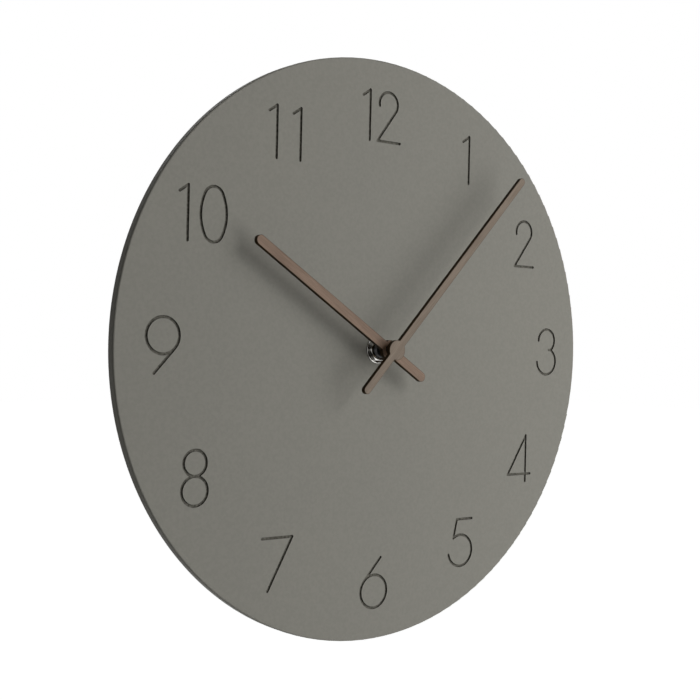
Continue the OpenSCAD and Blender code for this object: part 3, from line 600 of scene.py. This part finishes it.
def board_material():
    """Matt painted fibreboard: dark in the engraving, bare on the back and in the hole."""
    tones = colours()
    material, tree, shader, vector = new_material(
        "Painted board", Specular_IOR_Level=0.15
    )
    low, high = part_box("dial_board")
    thickness, reach = high.y - low.y, high.x
    pale_speck, dark_fleck = (0.42, 0.42, 0.40), (0.12, 0.07, 0.035)
    place = add(tree, "ShaderNodeSeparateXYZ", {0: vector}).outputs
    depth = maths(tree, "SUBTRACT", place[1], low.y)
    radius = from_axis(tree, vector)

    skin = use_group(tree, skin_group(), vector, Grain=1300.0, Drift=14.0)
    paint = shaded(tree, tones.paint, skin["Tone"], 0.030)
    fine = drifted(tree, noise(tree, vector, 700.0, 2.0), 0.965, 1.035)
    paint = mixed(tree, 1.0, paint, fine, "MULTIPLY")
    spots = use_group(tree, specks_group(), vector, Cells=46.0, Size=0.016, Share=0.16)
    paint = mixed(tree, maths(tree, "MULTIPLY", spots["Mask"], 0.5), paint, pale_speck)

    # The engraving starts just under the face, away from the rim
    cut = maths(
        tree,
        "MULTIPLY",
        ramp(tree, depth, 0.00004, 0.00022),
        ramp(tree, radius, reach - 0.0030, reach - 0.0020, 1.0, 0.0),
    )
    char = shaded(tree, tones.engraving, noise(tree, vector, 900.0), 0.35)
    front = mixed(tree, cut, paint, char)

    fibres = noise(tree, vector, 1900.0, 5.0, 0.7)
    bare = shaded(tree, tones.fibreboard, fibres, 0.22)
    flecks = use_group(tree, specks_group(), vector, Cells=700.0, Size=0.22, Share=0.10)
    bare = mixed(tree, maths(tree, "MULTIPLY", flecks["Mask"], 0.45), bare, dark_fleck)

    # The paint ends in an uneven line at the back's rim, and at the wall of the hole
    overspray = 0.0012
    uneven = maths(tree, "MULTIPLY", noise(tree, vector, 160.0), overspray)
    line = maths(tree, "ADD", radius, uneven)
    behind = ramp(tree, depth, thickness - 0.0003, thickness - 0.00005)
    edge = ramp(tree, line, reach - overspray, reach, 1.0, 0.0)
    bore = ramp(tree, radius, 0.0043, 0.0046, 1.0, 0.0)
    raw = maths(tree, "MAXIMUM", maths(tree, "MULTIPLY", behind, edge), bore)
    set_socket(tree, shader, "Base Color", mixed(tree, raw, front, bare))

    rough = drifted(tree, skin["Tone"], 0.60, 0.70)
    rough = maths(
        tree, "ADD", rough, maths(tree, "MULTIPLY", maths(tree, "MAXIMUM", raw, cut), 0.2)
    )
    set_socket(tree, shader, "Roughness", rough)
    height = maths(
        tree,
        "ADD",
        skin["Height"],
        maths(tree, "MULTIPLY", maths(tree, "MULTIPLY", fibres, raw), 2.0),
    )
    set_bump(tree, shader, height, 0.35, 0.00004)
    return material


def wood_material(name, face_tone_with_painted_light):
    """Grey-brown veneer whose fibres run along the piece, black where the burn attribute is one. Each
    hand gets its own face tone, and the difference between the two tones is painted light and shade.
    """
    tones = colours()
    material, tree, shader, _ = new_material(name, Specular_IOR_Level=0.1)
    along = add(tree, "ShaderNodeUVMap", uv_map="along").outputs[0]

    def streaks(lengthwise, crosswise, detail, rough=0.5):
        """Noise drawn out along the hand, with that many cells to a metre each way."""
        inputs = {"Vector": along, "Scale": (lengthwise, crosswise, 1)}
        place = add(tree, "ShaderNodeMapping", inputs).outputs[0]
        return noise(tree, place, 1.0, detail, rough)

    fibres = streaks(70, 2600, 5.0, 0.65)
    figure = streaks(28, 260, 3.0)
    dash = ramp(tree, streaks(260, 5200, 1.0), 0.60, 0.70)
    veins = ramp(tree, fibres, 0.32, 0.72, 0.0, 0.55)
    face = mixed(tree, veins, face_tone_with_painted_light, tones.wood_dark)
    face = mixed(tree, 1.0, face, drifted(tree, figure, 0.90, 1.08), "MULTIPLY")
    face = mixed(tree, maths(tree, "MULTIPLY", dash, 0.35), face, tones.wood_dark)
    burn = add(tree, "ShaderNodeAttribute", attribute_name="burn").outputs["Fac"]
    soot = shaded(tree, tones.burnt, fibres, 0.4)
    set_socket(tree, shader, "Base Color", mixed(tree, burn, face, soot))
    set_socket(tree, shader, "Roughness", drifted(tree, fibres, 0.52, 0.66))
    set_bump(tree, shader, maths(tree, "SUBTRACT", fibres, dash), 0.35, 0.00005)
    return material


def circuit_material():
    """Green solder mask over tracks that run in right angles, with a tinned pad here and there."""
    tones = colours()
    material, tree, shader, vector = new_material("Circuit", Coat_Weight=0.3)
    weave = add(
        tree,
        "ShaderNodeTexVoronoi",
        {"Vector": vector, "Scale": 420.0},
        distance="CHEBYCHEV",
        feature="F1",
    )
    line = ramp(tree, weave.outputs["Distance"], 0.36, 0.42)
    mask = shaded(tree, tones.circuit, noise(tree, vector, 200.0), 0.15)
    under = [min(c * 1.9 + 0.01, 1) for c in tones.circuit]
    pads = use_group(tree, specks_group(), vector, Cells=330.0, Size=0.22, Share=0.3)
    tint = mixed(tree, line, mask, under)
    set_socket(
        tree, shader, "Base Color", mixed(tree, pads["Mask"], tint, tones.steel)
    )
    set_socket(tree, shader, "Metallic", pads["Mask"])
    set_socket(tree, shader, "Roughness", ramp(tree, line, 0, 1, 0.34, 0.28))
    set_bump(tree, shader, line, 0.4, 0.00003)
    return material


def winding_material():
    """Enamelled wire: fine bands square to the coil's axis, which lies along X. The darker bands are
    painted shade in the grooves between the turns.
    """
    tones = colours()
    material, tree, shader, vector = new_material("Winding", Coat_Weight=0.6)
    bands = add(
        tree,
        "ShaderNodeTexWave",
        {"Vector": vector, "Scale": 1500.0, "Distortion": 0.6, "Detail": 1.0},
        bands_direction="X",
    ).outputs["Fac"]
    # Painted shade: the wire is darker where the bands dip between the turns
    dark = [c * 0.35 for c in tones.copper]
    set_socket(tree, shader, "Base Color", mixed(tree, bands, dark, tones.copper))
    set_socket(tree, shader, "Roughness", ramp(tree, bands, 0, 1, 0.42, 0.28))
    set_bump(tree, shader, bands, 0.6, 0.00005)
    return material


# Board


class CLOCK_OT_board(bpy.types.Operator):
    """Paint the board, darken its engraving and bare its back"""

    bl_idname = "clock.board"
    bl_label = "Board"

    def execute(self, context):
        finish_nodes(board_material(), "dial_board")
        return {"FINISHED"}


# Hands


def hand_loop(reach, tail, width, tip, boss):
    """Outline of a hand that points up, from its lower end up the right side and down the left.

    The half width at a height is that of the bar, which narrows evenly above the axis, or the
    circle of the boss or of an end where that is wider or closes the bar.
    """
    end_steps, tail_steps, boss_steps, bar_steps = 13, 9, 28, 30
    base, end = width / 2, tip / 2
    meet = math.sqrt(boss**2 - base**2)
    join = math.asin(meet / boss)
    around = np.radians(np.linspace(-math.degrees(join), 90, boss_steps, endpoint=False))
    y = np.concatenate(
        [
            base - tail + base * np.sin(np.radians(np.linspace(-90, 0, end_steps))),
            np.linspace(base - tail, -meet, tail_steps)[1:-1],
            boss * np.sin(around[around < join]),
            meet + (reach - end - meet) * np.linspace(0, 1, bar_steps)[:-1],
            reach - end + end * np.sin(np.radians(np.linspace(0, 90, end_steps))),
        ]
    )
    bar = base + (end - base) * np.clip(y / (reach - end), 0, 1)
    round_low = np.sqrt(np.clip(base**2 - np.minimum(y - base + tail, 0) ** 2, 0, None))
    round_high = np.sqrt(np.clip(end**2 - np.maximum(y - reach + end, 0) ** 2, 0, None))
    half = np.where(y < base - tail, round_low, np.where(y > reach - end, round_high, bar))
    half = np.maximum(half, np.sqrt(np.clip(boss**2 - y**2, 0, None)))
    right = np.stack([half, y], -1)
    left = np.stack([-half, y], -1)[::-1]
    return np.concatenate([right, left[1:-1]])


def loop_normals(loop):
    """Outward unit normals of a closed outline: a quarter turn of the line between both neighbours."""
    along = np.roll(loop, -1, axis=0) - np.roll(loop, 1, axis=0)
    out = np.stack([along[:, 1], -along[:, 0]], -1)
    return out / np.linalg.norm(out, axis=1, keepdims=True)


def hand_spine(loop, reach, tail, width, tip, boss, hole):
    """Inner end of the face strips: the middle line, and around a hole the circle of its edge.

    Heights within the boss map evenly to the angle around the hole, and those past it to the line.
    """
    x, y = loop[:, 0], loop[:, 1]
    line = np.clip(y, width / 2 - tail, reach - tip / 2)
    if not hole:
        return np.stack([np.zeros_like(line), line], -1), np.zeros(len(loop), bool)
    edge = 1.3 * boss
    far = np.where(y > 0, reach - tip / 2, tail - width / 2)
    out = np.clip((np.abs(line) - edge) / (far - edge), 0, 1)
    line = np.sign(y) * (hole + out * (far - hole))
    angle = np.clip(y / edge, -1, 1) * np.pi / 2
    near = np.abs(y) <= edge
    circle = np.stack([np.where(x < 0, -1, 1) * hole * np.cos(angle), hole * np.sin(angle)], -1)
    return np.where(near[:, None], circle, np.stack([np.zeros_like(line), line], -1)), near


def make_hand(kind, hole):
    """A hand cut from sheet: its outline carried round a rounded edge, from the front face to the back.

    A point is the outline moved inwards by the inset of a station, at that station's height. The burn
    is one on the side and fades out just past the rounded edge.
    """
    values = sizes()
    reach, tail, width, tip, turn = [
        getattr(values, f"{kind}_{size}")
        for size in ("reach", "tail", "width", "tip", "turn")
    ]
    boss, soft = values.hand_boss, values.hand_soft
    low, high = heights(kind + "_hand")
    loop = hand_loop(reach, tail, width, tip, boss)
    normals = loop_normals(loop)
    spine, on_hole = hand_spine(loop, reach, tail, width, tip, boss, hole)
    hold = 2.4 * soft
    front = arc((soft, high - soft), soft, 90, 180)
    back = arc((soft, low + soft), soft, 180, 270)
    stations = np.concatenate([[(hold, high)], front, back, [(hold, low)]])
    rings = loop[None] - stations[:, 0, None, None] * normals[None]
    flat = np.concatenate([spine[None], rings, spine[None]])
    height = np.concatenate([[high], stations[:, 1], [low]])[:, None]
    burn = np.clip(1.12 - stations[:, 0] / (1.5 * soft), 0, 1)
    burn = np.concatenate([[0], burn, [0]])[:, None] * np.ones(len(loop))
    cos, sin = math.cos(-turn), math.sin(-turn)
    x = flat[..., 0] * cos - flat[..., 1] * sin
    y = flat[..., 0] * sin + flat[..., 1] * cos
    faces = grid_faces(len(flat), len(loop), bool(hole), True)
    if hole:
        ends = on_hole & np.roll(on_hole, -1)
        faces = np.concatenate([faces[:-1].reshape(-1, 4), faces[-1][ends]])
    points = face_on(x, y, height)
    along = np.stack([flat[..., 1], flat[..., 0]], -1)
    return finish_mesh(kind + "_hand_wood", points, faces, {"burn": burn}, along)


class CLOCK_OT_hands(bpy.types.Operator):
    """Make the two wooden hands with their grain and burnt edges"""

    bl_idname = "clock.hands"
    bl_label = "Hands"

    def execute(self, context):
        tones = colours()
        # Each hand's face tone carries painted light and shade, so the two hands differ in colour
        wood = wood_material("Minute hand wood with painted light", tones.minute_wood_with_painted_light)
        place_piece(make_hand("minute", 0), ["minute_hand"], "hand_wood", wood)
        wood = wood_material("Hour hand wood with painted light", tones.hour_wood_with_painted_light)
        hour = make_hand("hour", sizes().hand_hole)
        place_piece(hour, ["hour_hand"], "hand_wood", wood)
        return {"FINISHED"}


# Nut, washers and neck


def nut_section(angle, flats, chamfer, cut):
    """Reach of a hexagon at an angle: half the flats over the cosine from the nearest flat's middle."""
    corner = flats / 2 / math.cos(math.pi / 6)
    from_flat = np.mod(angle, math.pi / 3) - math.pi / 6
    reach = np.minimum(flats / 2 / np.cos(from_flat), corner - cut)
    drop = (reach - flats / 2) * chamfer / (corner - flats / 2)
    return reach, drop


def make_nut():
    """Hexagon nut: at each angle its section from the bore along the rear face, the wall at the reach
    of the hexagon, the chamfer, the front face and the mouth of the bore.
    """
    values = sizes()
    low, high = heights("hex_nut")
    bore, mouth, soft = 0.00405, 0.00015, 0.00006
    steps = 6 * 24
    angle = np.linspace(0, 2 * np.pi, steps, endpoint=False)
    reach, drop = nut_section(
        angle, values.nut_flats, values.nut_chamfer, values.nut_round
    )
    flat = values.nut_flats / 2 - soft
    columns = [
        (bore, low),
        (reach - 3 * soft, low),
        (reach - soft, low),
        (reach, low + soft),
        (reach, low + 3 * soft),
        (reach, high - drop - 3 * soft),
        (reach, high - drop - soft),
        (reach - soft, high - drop),
        (np.minimum(flat + 2 * soft, reach - 1.5 * soft), high - 0.3 * soft),
        (flat - soft, high),
        (flat - 4 * soft, high),
        (bore + mouth + 2 * soft, high),
        (bore + mouth, high),
        (bore, high - mouth),
        (bore, high - mouth - 2 * soft),
    ]
    radius = np.stack([np.broadcast_to(r, steps) for r, _ in columns], -1)
    height = np.stack([np.broadcast_to(h, steps) for _, h in columns], -1)
    points = face_on(
        radius * np.cos(angle)[:, None], radius * np.sin(angle)[:, None], height
    )
    return finish_mesh(
        "hex_nut_metal", points, grid_faces(steps, len(columns), True, True), sharp=0.9
    )


def make_neck():
    """Threaded neck: a tube whose radius falls by the thread's depth in a triangle wave.

    The wave runs with height, moves on by one pitch in a turn, and fades out towards the flange.
    """
    values = sizes()
    low, high = heights("threaded_neck")
    rim, crest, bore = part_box("threaded_neck")[1].x, 0.0040, 0.0026
    flange, soft = low + 0.0008, 0.0001
    pitch, depth = values.thread_pitch, values.thread_depth
    rows = np.linspace(flange + 4 * soft, high - 3 * soft, 150)
    section = np.concatenate(
        [
            [(bore, low), (rim - soft, low), (rim, low + soft)],
            [(rim, flange - soft), (rim - soft, flange)],
            [(crest - depth, flange)],
            np.stack([np.full(rows.size, crest), rows], -1),
            [(crest - depth, high), (bore + 2 * soft, high)],
            [(bore, high - 2 * soft)],
        ]
    )

    def thread(angle, radius, height):
        wave = np.mod(height / pitch - angle / (2 * np.pi), 1)
        groove = np.clip(1 - np.abs(2 * wave - 1) * 1.25, 0, 1)
        fade = np.clip((height - rows[0]) / pitch, 0, 1)
        on = (height >= rows[0]) & (height <= rows[-1]) & (np.abs(radius - crest) < 1e-6)
        return np.where(on, radius - depth * groove * fade, radius)

    return turned("threaded_neck_moulded", section, swell=thread)


def make_washer(node, name, soft):
    """Washer: the section of a ring with rounded outer edges, turned about the shaft axis."""
    low, high = heights(node)
    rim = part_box(node)[1].x
    return turned(name, soft_ring(WASHER_BORE, rim, low, high, soft))


def make_bush(node, bore):
    """Bush: the section of a thin wall with a flange in front, turned about the shaft axis."""
    low, high = heights(node)
    rim, wall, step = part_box(node)[1].x, bore + 0.0007, high - 0.0006
    soft = 0.0001
    hold = 1.6 * soft
    section = np.concatenate(
        [
            [(bore, high), (rim - hold, high)],
            arc((rim - soft, high - soft), soft, 90, 0),
            arc((rim - soft, step + soft), soft, 0, -90),
            [(rim - hold, step), (wall + soft, step), (wall, step - soft)],
            arc((wall - soft, low + soft), soft, 0, -90),
            [(bore, low)],
        ]
    )
    return turned(node + "_brass", section)


class CLOCK_OT_fastening(bpy.types.Operator):
    """Make the nut, the washers, the threaded neck and the hands' bushes"""

    bl_idname = "clock.fastening"
    bl_label = "Nut, washers and neck"

    def execute(self, context):
        values, tones = sizes(), colours()
        # The nut and washer metal is darkened as a painted reflection of dark surroundings
        nickel_darkened_for_painted_reflection = metal("Nickel darkened for painted reflection", tones.nickel_darkened_for_painted_reflection, 0.14)
        brass = metal("Brass", tones.brass, 0.28)
        rubber = plastic("Rubber", tones.rubber, 0.72, 3200.0, 0.00004)
        moulded = plastic("Neck plastic", tones.case, 0.40, 2600.0, 0.00002)
        washer = make_washer("front_washer", "front_washer_metal", values.washer_soft)
        place_piece(washer, ["front_washer"], "nut_metal", nickel_darkened_for_painted_reflection)
        place_piece(make_nut(), ["hex_nut"], "nut_metal", nickel_darkened_for_painted_reflection)
        place_piece(make_neck(), ["threaded_neck"], "case_plastic", moulded)
        pad = make_washer("rubber_washer", "rubber_washer_pad", 0.00025)
        place_piece(pad, ["rubber_washer"], "washer_rubber", rubber)
        for node, bore in (("hour_hand_bush", 0.00257), ("minute_hand_bush", 0.00177)):
            place_piece(make_bush(node, bore), [node], "brass", brass)
        finish_nodes(brass, "minute_arbor", "centre_wheel")
        return {"FINISHED"}


# Movement


def softened(node, name, width):
    """A copy of a CAD node with its doubles merged, its flats made whole and its edges rounded."""
    mesh = NODES[node].data.copy()
    mesh.name = name
    work = bmesh.new()
    work.from_mesh(mesh)
    bmesh.ops.remove_doubles(work, verts=work.verts, dist=2e-7)
    bmesh.ops.dissolve_limit(
        work,
        angle_limit=math.radians(0.5),
        verts=work.verts,
        edges=work.edges,
    )
    work.to_mesh(mesh)
    work.free()
    if mesh.has_custom_normals:
        mesh.attributes.remove(mesh.attributes["custom_normal"])
    mesh.shade_smooth()
    mesh.set_sharp_from_angle(angle=SHARP_ANGLE)
    piece = bpy.data.objects.new(name, mesh)
    bpy.context.scene.collection.objects.link(piece)
    edge = piece.modifiers.new("Rounded edges", "BEVEL")
    edge.width = width
    edge.segments = 2
    edge.limit_method = "ANGLE"
    edge.angle_limit = math.radians(40)
    edge.miter_outer = "MITER_ARC"
    edge.harden_normals = True
    return piece


def make_knob():
    """Setting knob: a disc whose rim has even grooves, with a shallow hollow in its rear face."""
    values = sizes()
    low, high = heights("setting_knob")
    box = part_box("setting_knob")
    radius = (box[1].z - box[0].z) / 2
    soft = 0.0004
    hollow = radius * 0.62
    section = np.concatenate(
        [
            [(0, high), (radius - 2 * soft, high)],
            arc((radius - soft, high - soft), soft, 90, 0),
            arc((radius - soft, low + soft), soft, 0, -90),
            [(radius - 1.6 * soft, low), (hollow + soft, low), (hollow, low)],
            arc((hollow - soft, low + values.knob_dish + soft), soft, -60, -90, 3)
            - [(0, soft)],
            [(hollow - 3 * soft, low + values.knob_dish), (0, low + values.knob_dish)],
        ]
    )

    def grooved(angle, reach, height):
        wave = np.abs(np.cos(angle * values.knob_grooves / 2)) ** 6
        rim = np.clip((reach - (radius - 1.4 * soft)) / (1.2 * soft), 0, 1)
        return reach - values.knob_groove * wave * rim

    return turned(
        "setting_knob_grooved",
        section,
        closed=False,
        swell=grooved,
        middle=middle_of("setting_knob"),
    )


def make_battery(materials):
    """Round cell along X: its section, from the flat end to the button, turned about its axis."""
    low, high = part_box("battery")
    middle = ((low.y + high.y) / 2, (low.z + high.z) / 2)
    soft, button, rise = 0.0008, 0.0027, 0.0012
    radius, body = (high.z - low.z) / 2, high.x - low.x - rise
    section = np.concatenate(
        [
            [(0, 0.0003), (0.0040, 0.0003), (0.0043, 0.0002), (0.0046, 0)],
            [(radius - soft - 0.0002, 0)],
            arc((radius - soft, soft), soft, -90, 0, 6),
            [(radius, 2 * soft), (radius, 2.1 * soft), (radius, 0.60 * body)],
            [(radius, 0.72 * body), (radius, 0.722 * body)],
            [(radius, body - 2 * soft)],
            arc((radius - soft, body - soft), soft, 0, 90, 6),
            [(radius - 0.0016, body - 0.0001), (radius - 0.0018, body - 0.0005)],
            [(button + 0.0004, body - 0.0005), (button + 0.0001, body - 0.0004)],
            arc((button - 0.0002, body + rise - 0.0002), 0.0002, 0, 90, 4),
            [(button - 0.0005, body + rise), (0, body + rise)],
        ]
    )
    angle = np.linspace(0, 2 * np.pi, ROUND_STEPS, endpoint=False)[:, None]
    reach, along = section[None, :, 0], section[None, :, 1]
    points = np.stack(
        np.broadcast_arrays(
            low.x + along,
            middle[0] + reach * np.cos(angle),
            middle[1] + reach * np.sin(angle),
        ),
        -1,
    )
    piece = finish_mesh(
        "battery_cell", points, grid_faces(ROUND_STEPS, len(section), True, False)
    )
    place_piece(piece, ["battery"], "battery_sleeve", *materials)
    places = np.empty(len(piece.data.polygons) * 3)
    piece.data.polygons.foreach_get("center", places)
    places = places.reshape(-1, 3)
    across = np.hypot(places[:, 1] - middle[0], places[:, 2] - middle[1])
    metal_end = (across < radius - 0.0012) | (places[:, 0] > low.x + body + 0.00001)
    piece.data.polygons.foreach_set("material_index", metal_end.astype(np.int32))


def sleeve_material():
    """Glossy film in two plain colours, with a thin line by the band, worked out along the cell."""
    tones = colours()
    material, tree, shader, vector = new_material("Battery sleeve", Coat_Weight=0.4)
    low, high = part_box("battery")
    edge = low.x + 0.70 * (high.x - low.x)
    place = add(tree, "ShaderNodeSeparateXYZ", {0: vector}).outputs
    band = ramp(tree, place[0], edge, edge + 0.0001)
    away = maths(tree, "ABSOLUTE", maths(tree, "SUBTRACT", place[0], edge - 0.0012))
    line = ramp(tree, away, 0.0003, 0.0004, 1.0, 0.0)
    skin = use_group(tree, skin_group(), vector, Grain=900.0, Drift=90.0)
    haze = (0.2, 0.2, 0.2)
    tint = mixed(tree, maths(tree, "MAXIMUM", band, line), tones.sleeve, tones.band)
    tint = mixed(tree, drifted(tree, skin["Tone"], 0.0, 0.12), tint, haze)
    set_socket(tree, shader, "Base Color", tint)
    set_socket(tree, shader, "Metallic", maths(tree, "MULTIPLY", band, 0.85))
    set_socket(tree, shader, "Roughness", drifted(tree, skin["Tone"], 0.26, 0.36))
    set_bump(tree, shader, skin["Height"], 0.15, 0.00003)
    return material


class CLOCK_OT_movement(bpy.types.Operator):
    """Round the case and its cover, and make the setting knob and the battery"""

    bl_idname = "clock.movement"
    bl_label = "Movement case"

    def execute(self, context):
        values, tones = sizes(), colours()
        case = plastic(
            "Moulded plastic", tones.case, 0.46, 2300.0, 0.00004, Specular_IOR_Level=0.3
        )
        steel = metal("Steel", tones.steel, 0.24, 3000.0)
        for node in ("front_case", "rear_cover"):
            shell = softened(node, node + "_moulded", values.case_soft)
            place_piece(shell, [node], "case_plastic", case)
        place_piece(make_knob(), ["setting_knob"], "case_plastic", case)
        make_battery((sleeve_material(), steel))
        finish_nodes(steel, "positive_contact", "negative_contact", "clutch_spring")
        return {"FINISHED"}


class CLOCK_OT_works(bpy.types.Operator):
    """Finish the wheels, the plate, the coil and the circuit inside the case"""

    bl_idname = "clock.works"
    bl_label = "Works"

    def execute(self, context):
        tones = colours()
        acetal = plastic(
            "Acetal", tones.acetal, 0.36, 1800.0, 0.00001, 0.04, Subsurface_Weight=0.05
        )
        dark = plastic("Hour tube plastic", tones.case, 0.34, 1800.0, 0.00001)
        iron = metal("Soft iron", tones.iron, 0.38, 2500.0)
        finish_nodes(
            acetal,
            "train_plate",
            "coil_bobbin",
            "rotor_pinion",
            "intermediate_wheel",
            "second_wheel",
            "third_wheel",
            "motion_wheel",
            "setting_pinion",
        )
        finish_nodes(dark, "hour_wheel")
        finish_nodes(iron, "coil_core", "stator")
        finish_nodes(metal("Crystal can", tones.steel, 0.2), "quartz_crystal")
        finish_nodes(plastic("Magnet", tones.magnet, 0.5), "rotor_magnet")
        finish_nodes(plastic("Chip resin", tones.resin, 0.18), "chip_cap")
        finish_nodes(circuit_material(), "circuit_board")
        finish_nodes(winding_material(), "coil_winding")
        return {"FINISHED"}


# Stage


def area_lamp(name, form, aim, power):
    """A soft lamp whose form gives its place, width and height, and which shines at the aim."""
    data = bpy.data.lights.new(name, "AREA")
    data.shape = "RECTANGLE"
    data.energy = power
    lamp = bpy.data.objects.new(name, data)
    bpy.context.scene.collection.objects.link(lamp)
    lamp.location, data.size, data.size_y = form
    lamp.rotation_euler = (aim - lamp.location).to_track_quat("-Z", "Y").to_euler()
    return lamp


def seen_ray(tree):
    """One for rays from the camera, and for those that gloss or glass sends on."""
    path = add(tree, "ShaderNodeLightPath").outputs
    other = maths(
        tree, "MAXIMUM", path["Is Glossy Ray"], path["Is Transmission Ray"]
    )
    return maths(tree, "MAXIMUM", path["Is Camera Ray"], other)


def floor_material():
    """Pale floor that glows for seen rays, more the further it is from the clock, in place of the lamp
    light that falls off there; nearer the clock the glow is lower and the floor keeps soft shadows.
    """
    material, tree, shader, vector = new_material(
        "Floor",
        Base_Color=(0.8, 0.8, 0.8, 1),
        Emission_Color=(1, 1, 1, 1),
        Roughness=1.0,
        Specular_IOR_Level=0.0,
    )
    away = add(tree, "ShaderNodeVectorMath", {0: vector}, operation="LENGTH")
    level = ramp(tree, away.outputs["Value"], 1.2, 4.0, 0.76, 0.95)
    glow = maths(tree, "MULTIPLY", seen_ray(tree), level)
    set_socket(tree, shader, "Emission Strength", glow)
    return material


class CLOCK_OT_stage(bpy.types.Operator):
    """Set the camera at the photograph's view, the floor, the backdrop and the lamps"""

    bl_idname = "clock.stage"
    bl_label = "Stage"

    def execute(self, context):
        values, scene = stage(), context.scene
        data = bpy.data.cameras.new("Camera")
        data.lens = values.lens
        data.sensor_width = SENSOR_WIDTH
        data.clip_start = 0.01
        camera = bpy.data.objects.new("Camera", data)
        scene.collection.objects.link(camera)
        camera.location = CAMERA_PLACE
        camera.rotation_euler = [math.radians(angle) for angle in CAMERA_DEGREES]
        scene.camera = camera

        corners = np.array([[-1, -1], [1, -1], [1, 1], [-1, 1]]) * FLOOR_HALF
        points = np.column_stack([corners, np.full(4, -values.floor_drop)])
        mesh = bpy.data.meshes.new("Floor")
        mesh.from_pydata(points.tolist(), [], [(0, 1, 2, 3)])
        mesh.materials.append(floor_material())
        floor = bpy.data.objects.new("Floor", mesh)
        scene.collection.objects.link(floor)

        low, high = CAD_BOX
        aim = (low + high) / 2
        area_lamp("Key lamp", KEY_LAMP, aim, values.key)
        area_lamp("Side lamp", SIDE_LAMP, aim, values.side)
        behind = area_lamp("Back lamp", BACK_LAMP, aim, values.back)
        behind.visible_camera = False

        world = bpy.data.worlds.new("Studio")
        scene.world = world
        world.use_nodes = True
        tree = world.node_tree
        sky = tree.nodes["Background"]
        sky.inputs["Color"].default_value = (1, 1, 1, 1)
        seen = seen_ray(tree)
        level = ramp(tree, seen, 0.0, 1.0, values.ambient, 1.0)
        tree.links.new(level, sky.inputs["Strength"])
        scene.view_settings.view_transform = "Standard"
        return {"FINISHED"}


# Panel


class CLOCK_PT_panel(bpy.types.Panel):
    """Steps that dress the clock, and its sizes, colours and light"""

    bl_idname = "CLOCK_PT_panel"
    bl_label = "Wall clock"
    bl_space_type = "VIEW_3D"
    bl_region_type = "UI"
    bl_category = "Wall clock"

    def draw(self, context):
        for step in STEPS:
            self.layout.operator(step.bl_idname)
        for group in (sizes(), colours(), stage()):
            column = self.layout.box().column()
            for key in group.__annotations__:
                column.prop(group, key)


STEPS = (
    CLOCK_OT_board,
    CLOCK_OT_hands,
    CLOCK_OT_fastening,
    CLOCK_OT_movement,
    CLOCK_OT_works,
    CLOCK_OT_stage,
)
GROUPS = {
    "clock_sizes": ClockSizes,
    "clock_colours": ClockColours,
    "clock_stage": ClockStage,
}


def register():
    for kind in (*GROUPS.values(), *STEPS, CLOCK_PT_panel):
        bpy.utils.register_class(kind)
    for key, kind in GROUPS.items():
        setattr(bpy.types.Scene, key, PointerProperty(type=kind))


def unregister():
    for key in GROUPS:
        delattr(bpy.types.Scene, key)
    for kind in (*GROUPS.values(), *STEPS, CLOCK_PT_panel):
        bpy.utils.unregister_class(kind)


def main():
    register()
    bpy.ops.clock.board()
    bpy.ops.clock.hands()
    bpy.ops.clock.fastening()
    bpy.ops.clock.movement()
    bpy.ops.clock.works()
    bpy.ops.clock.stage()
    bpy.context.view_layer.update()


if __name__ == "__main__":
    main()
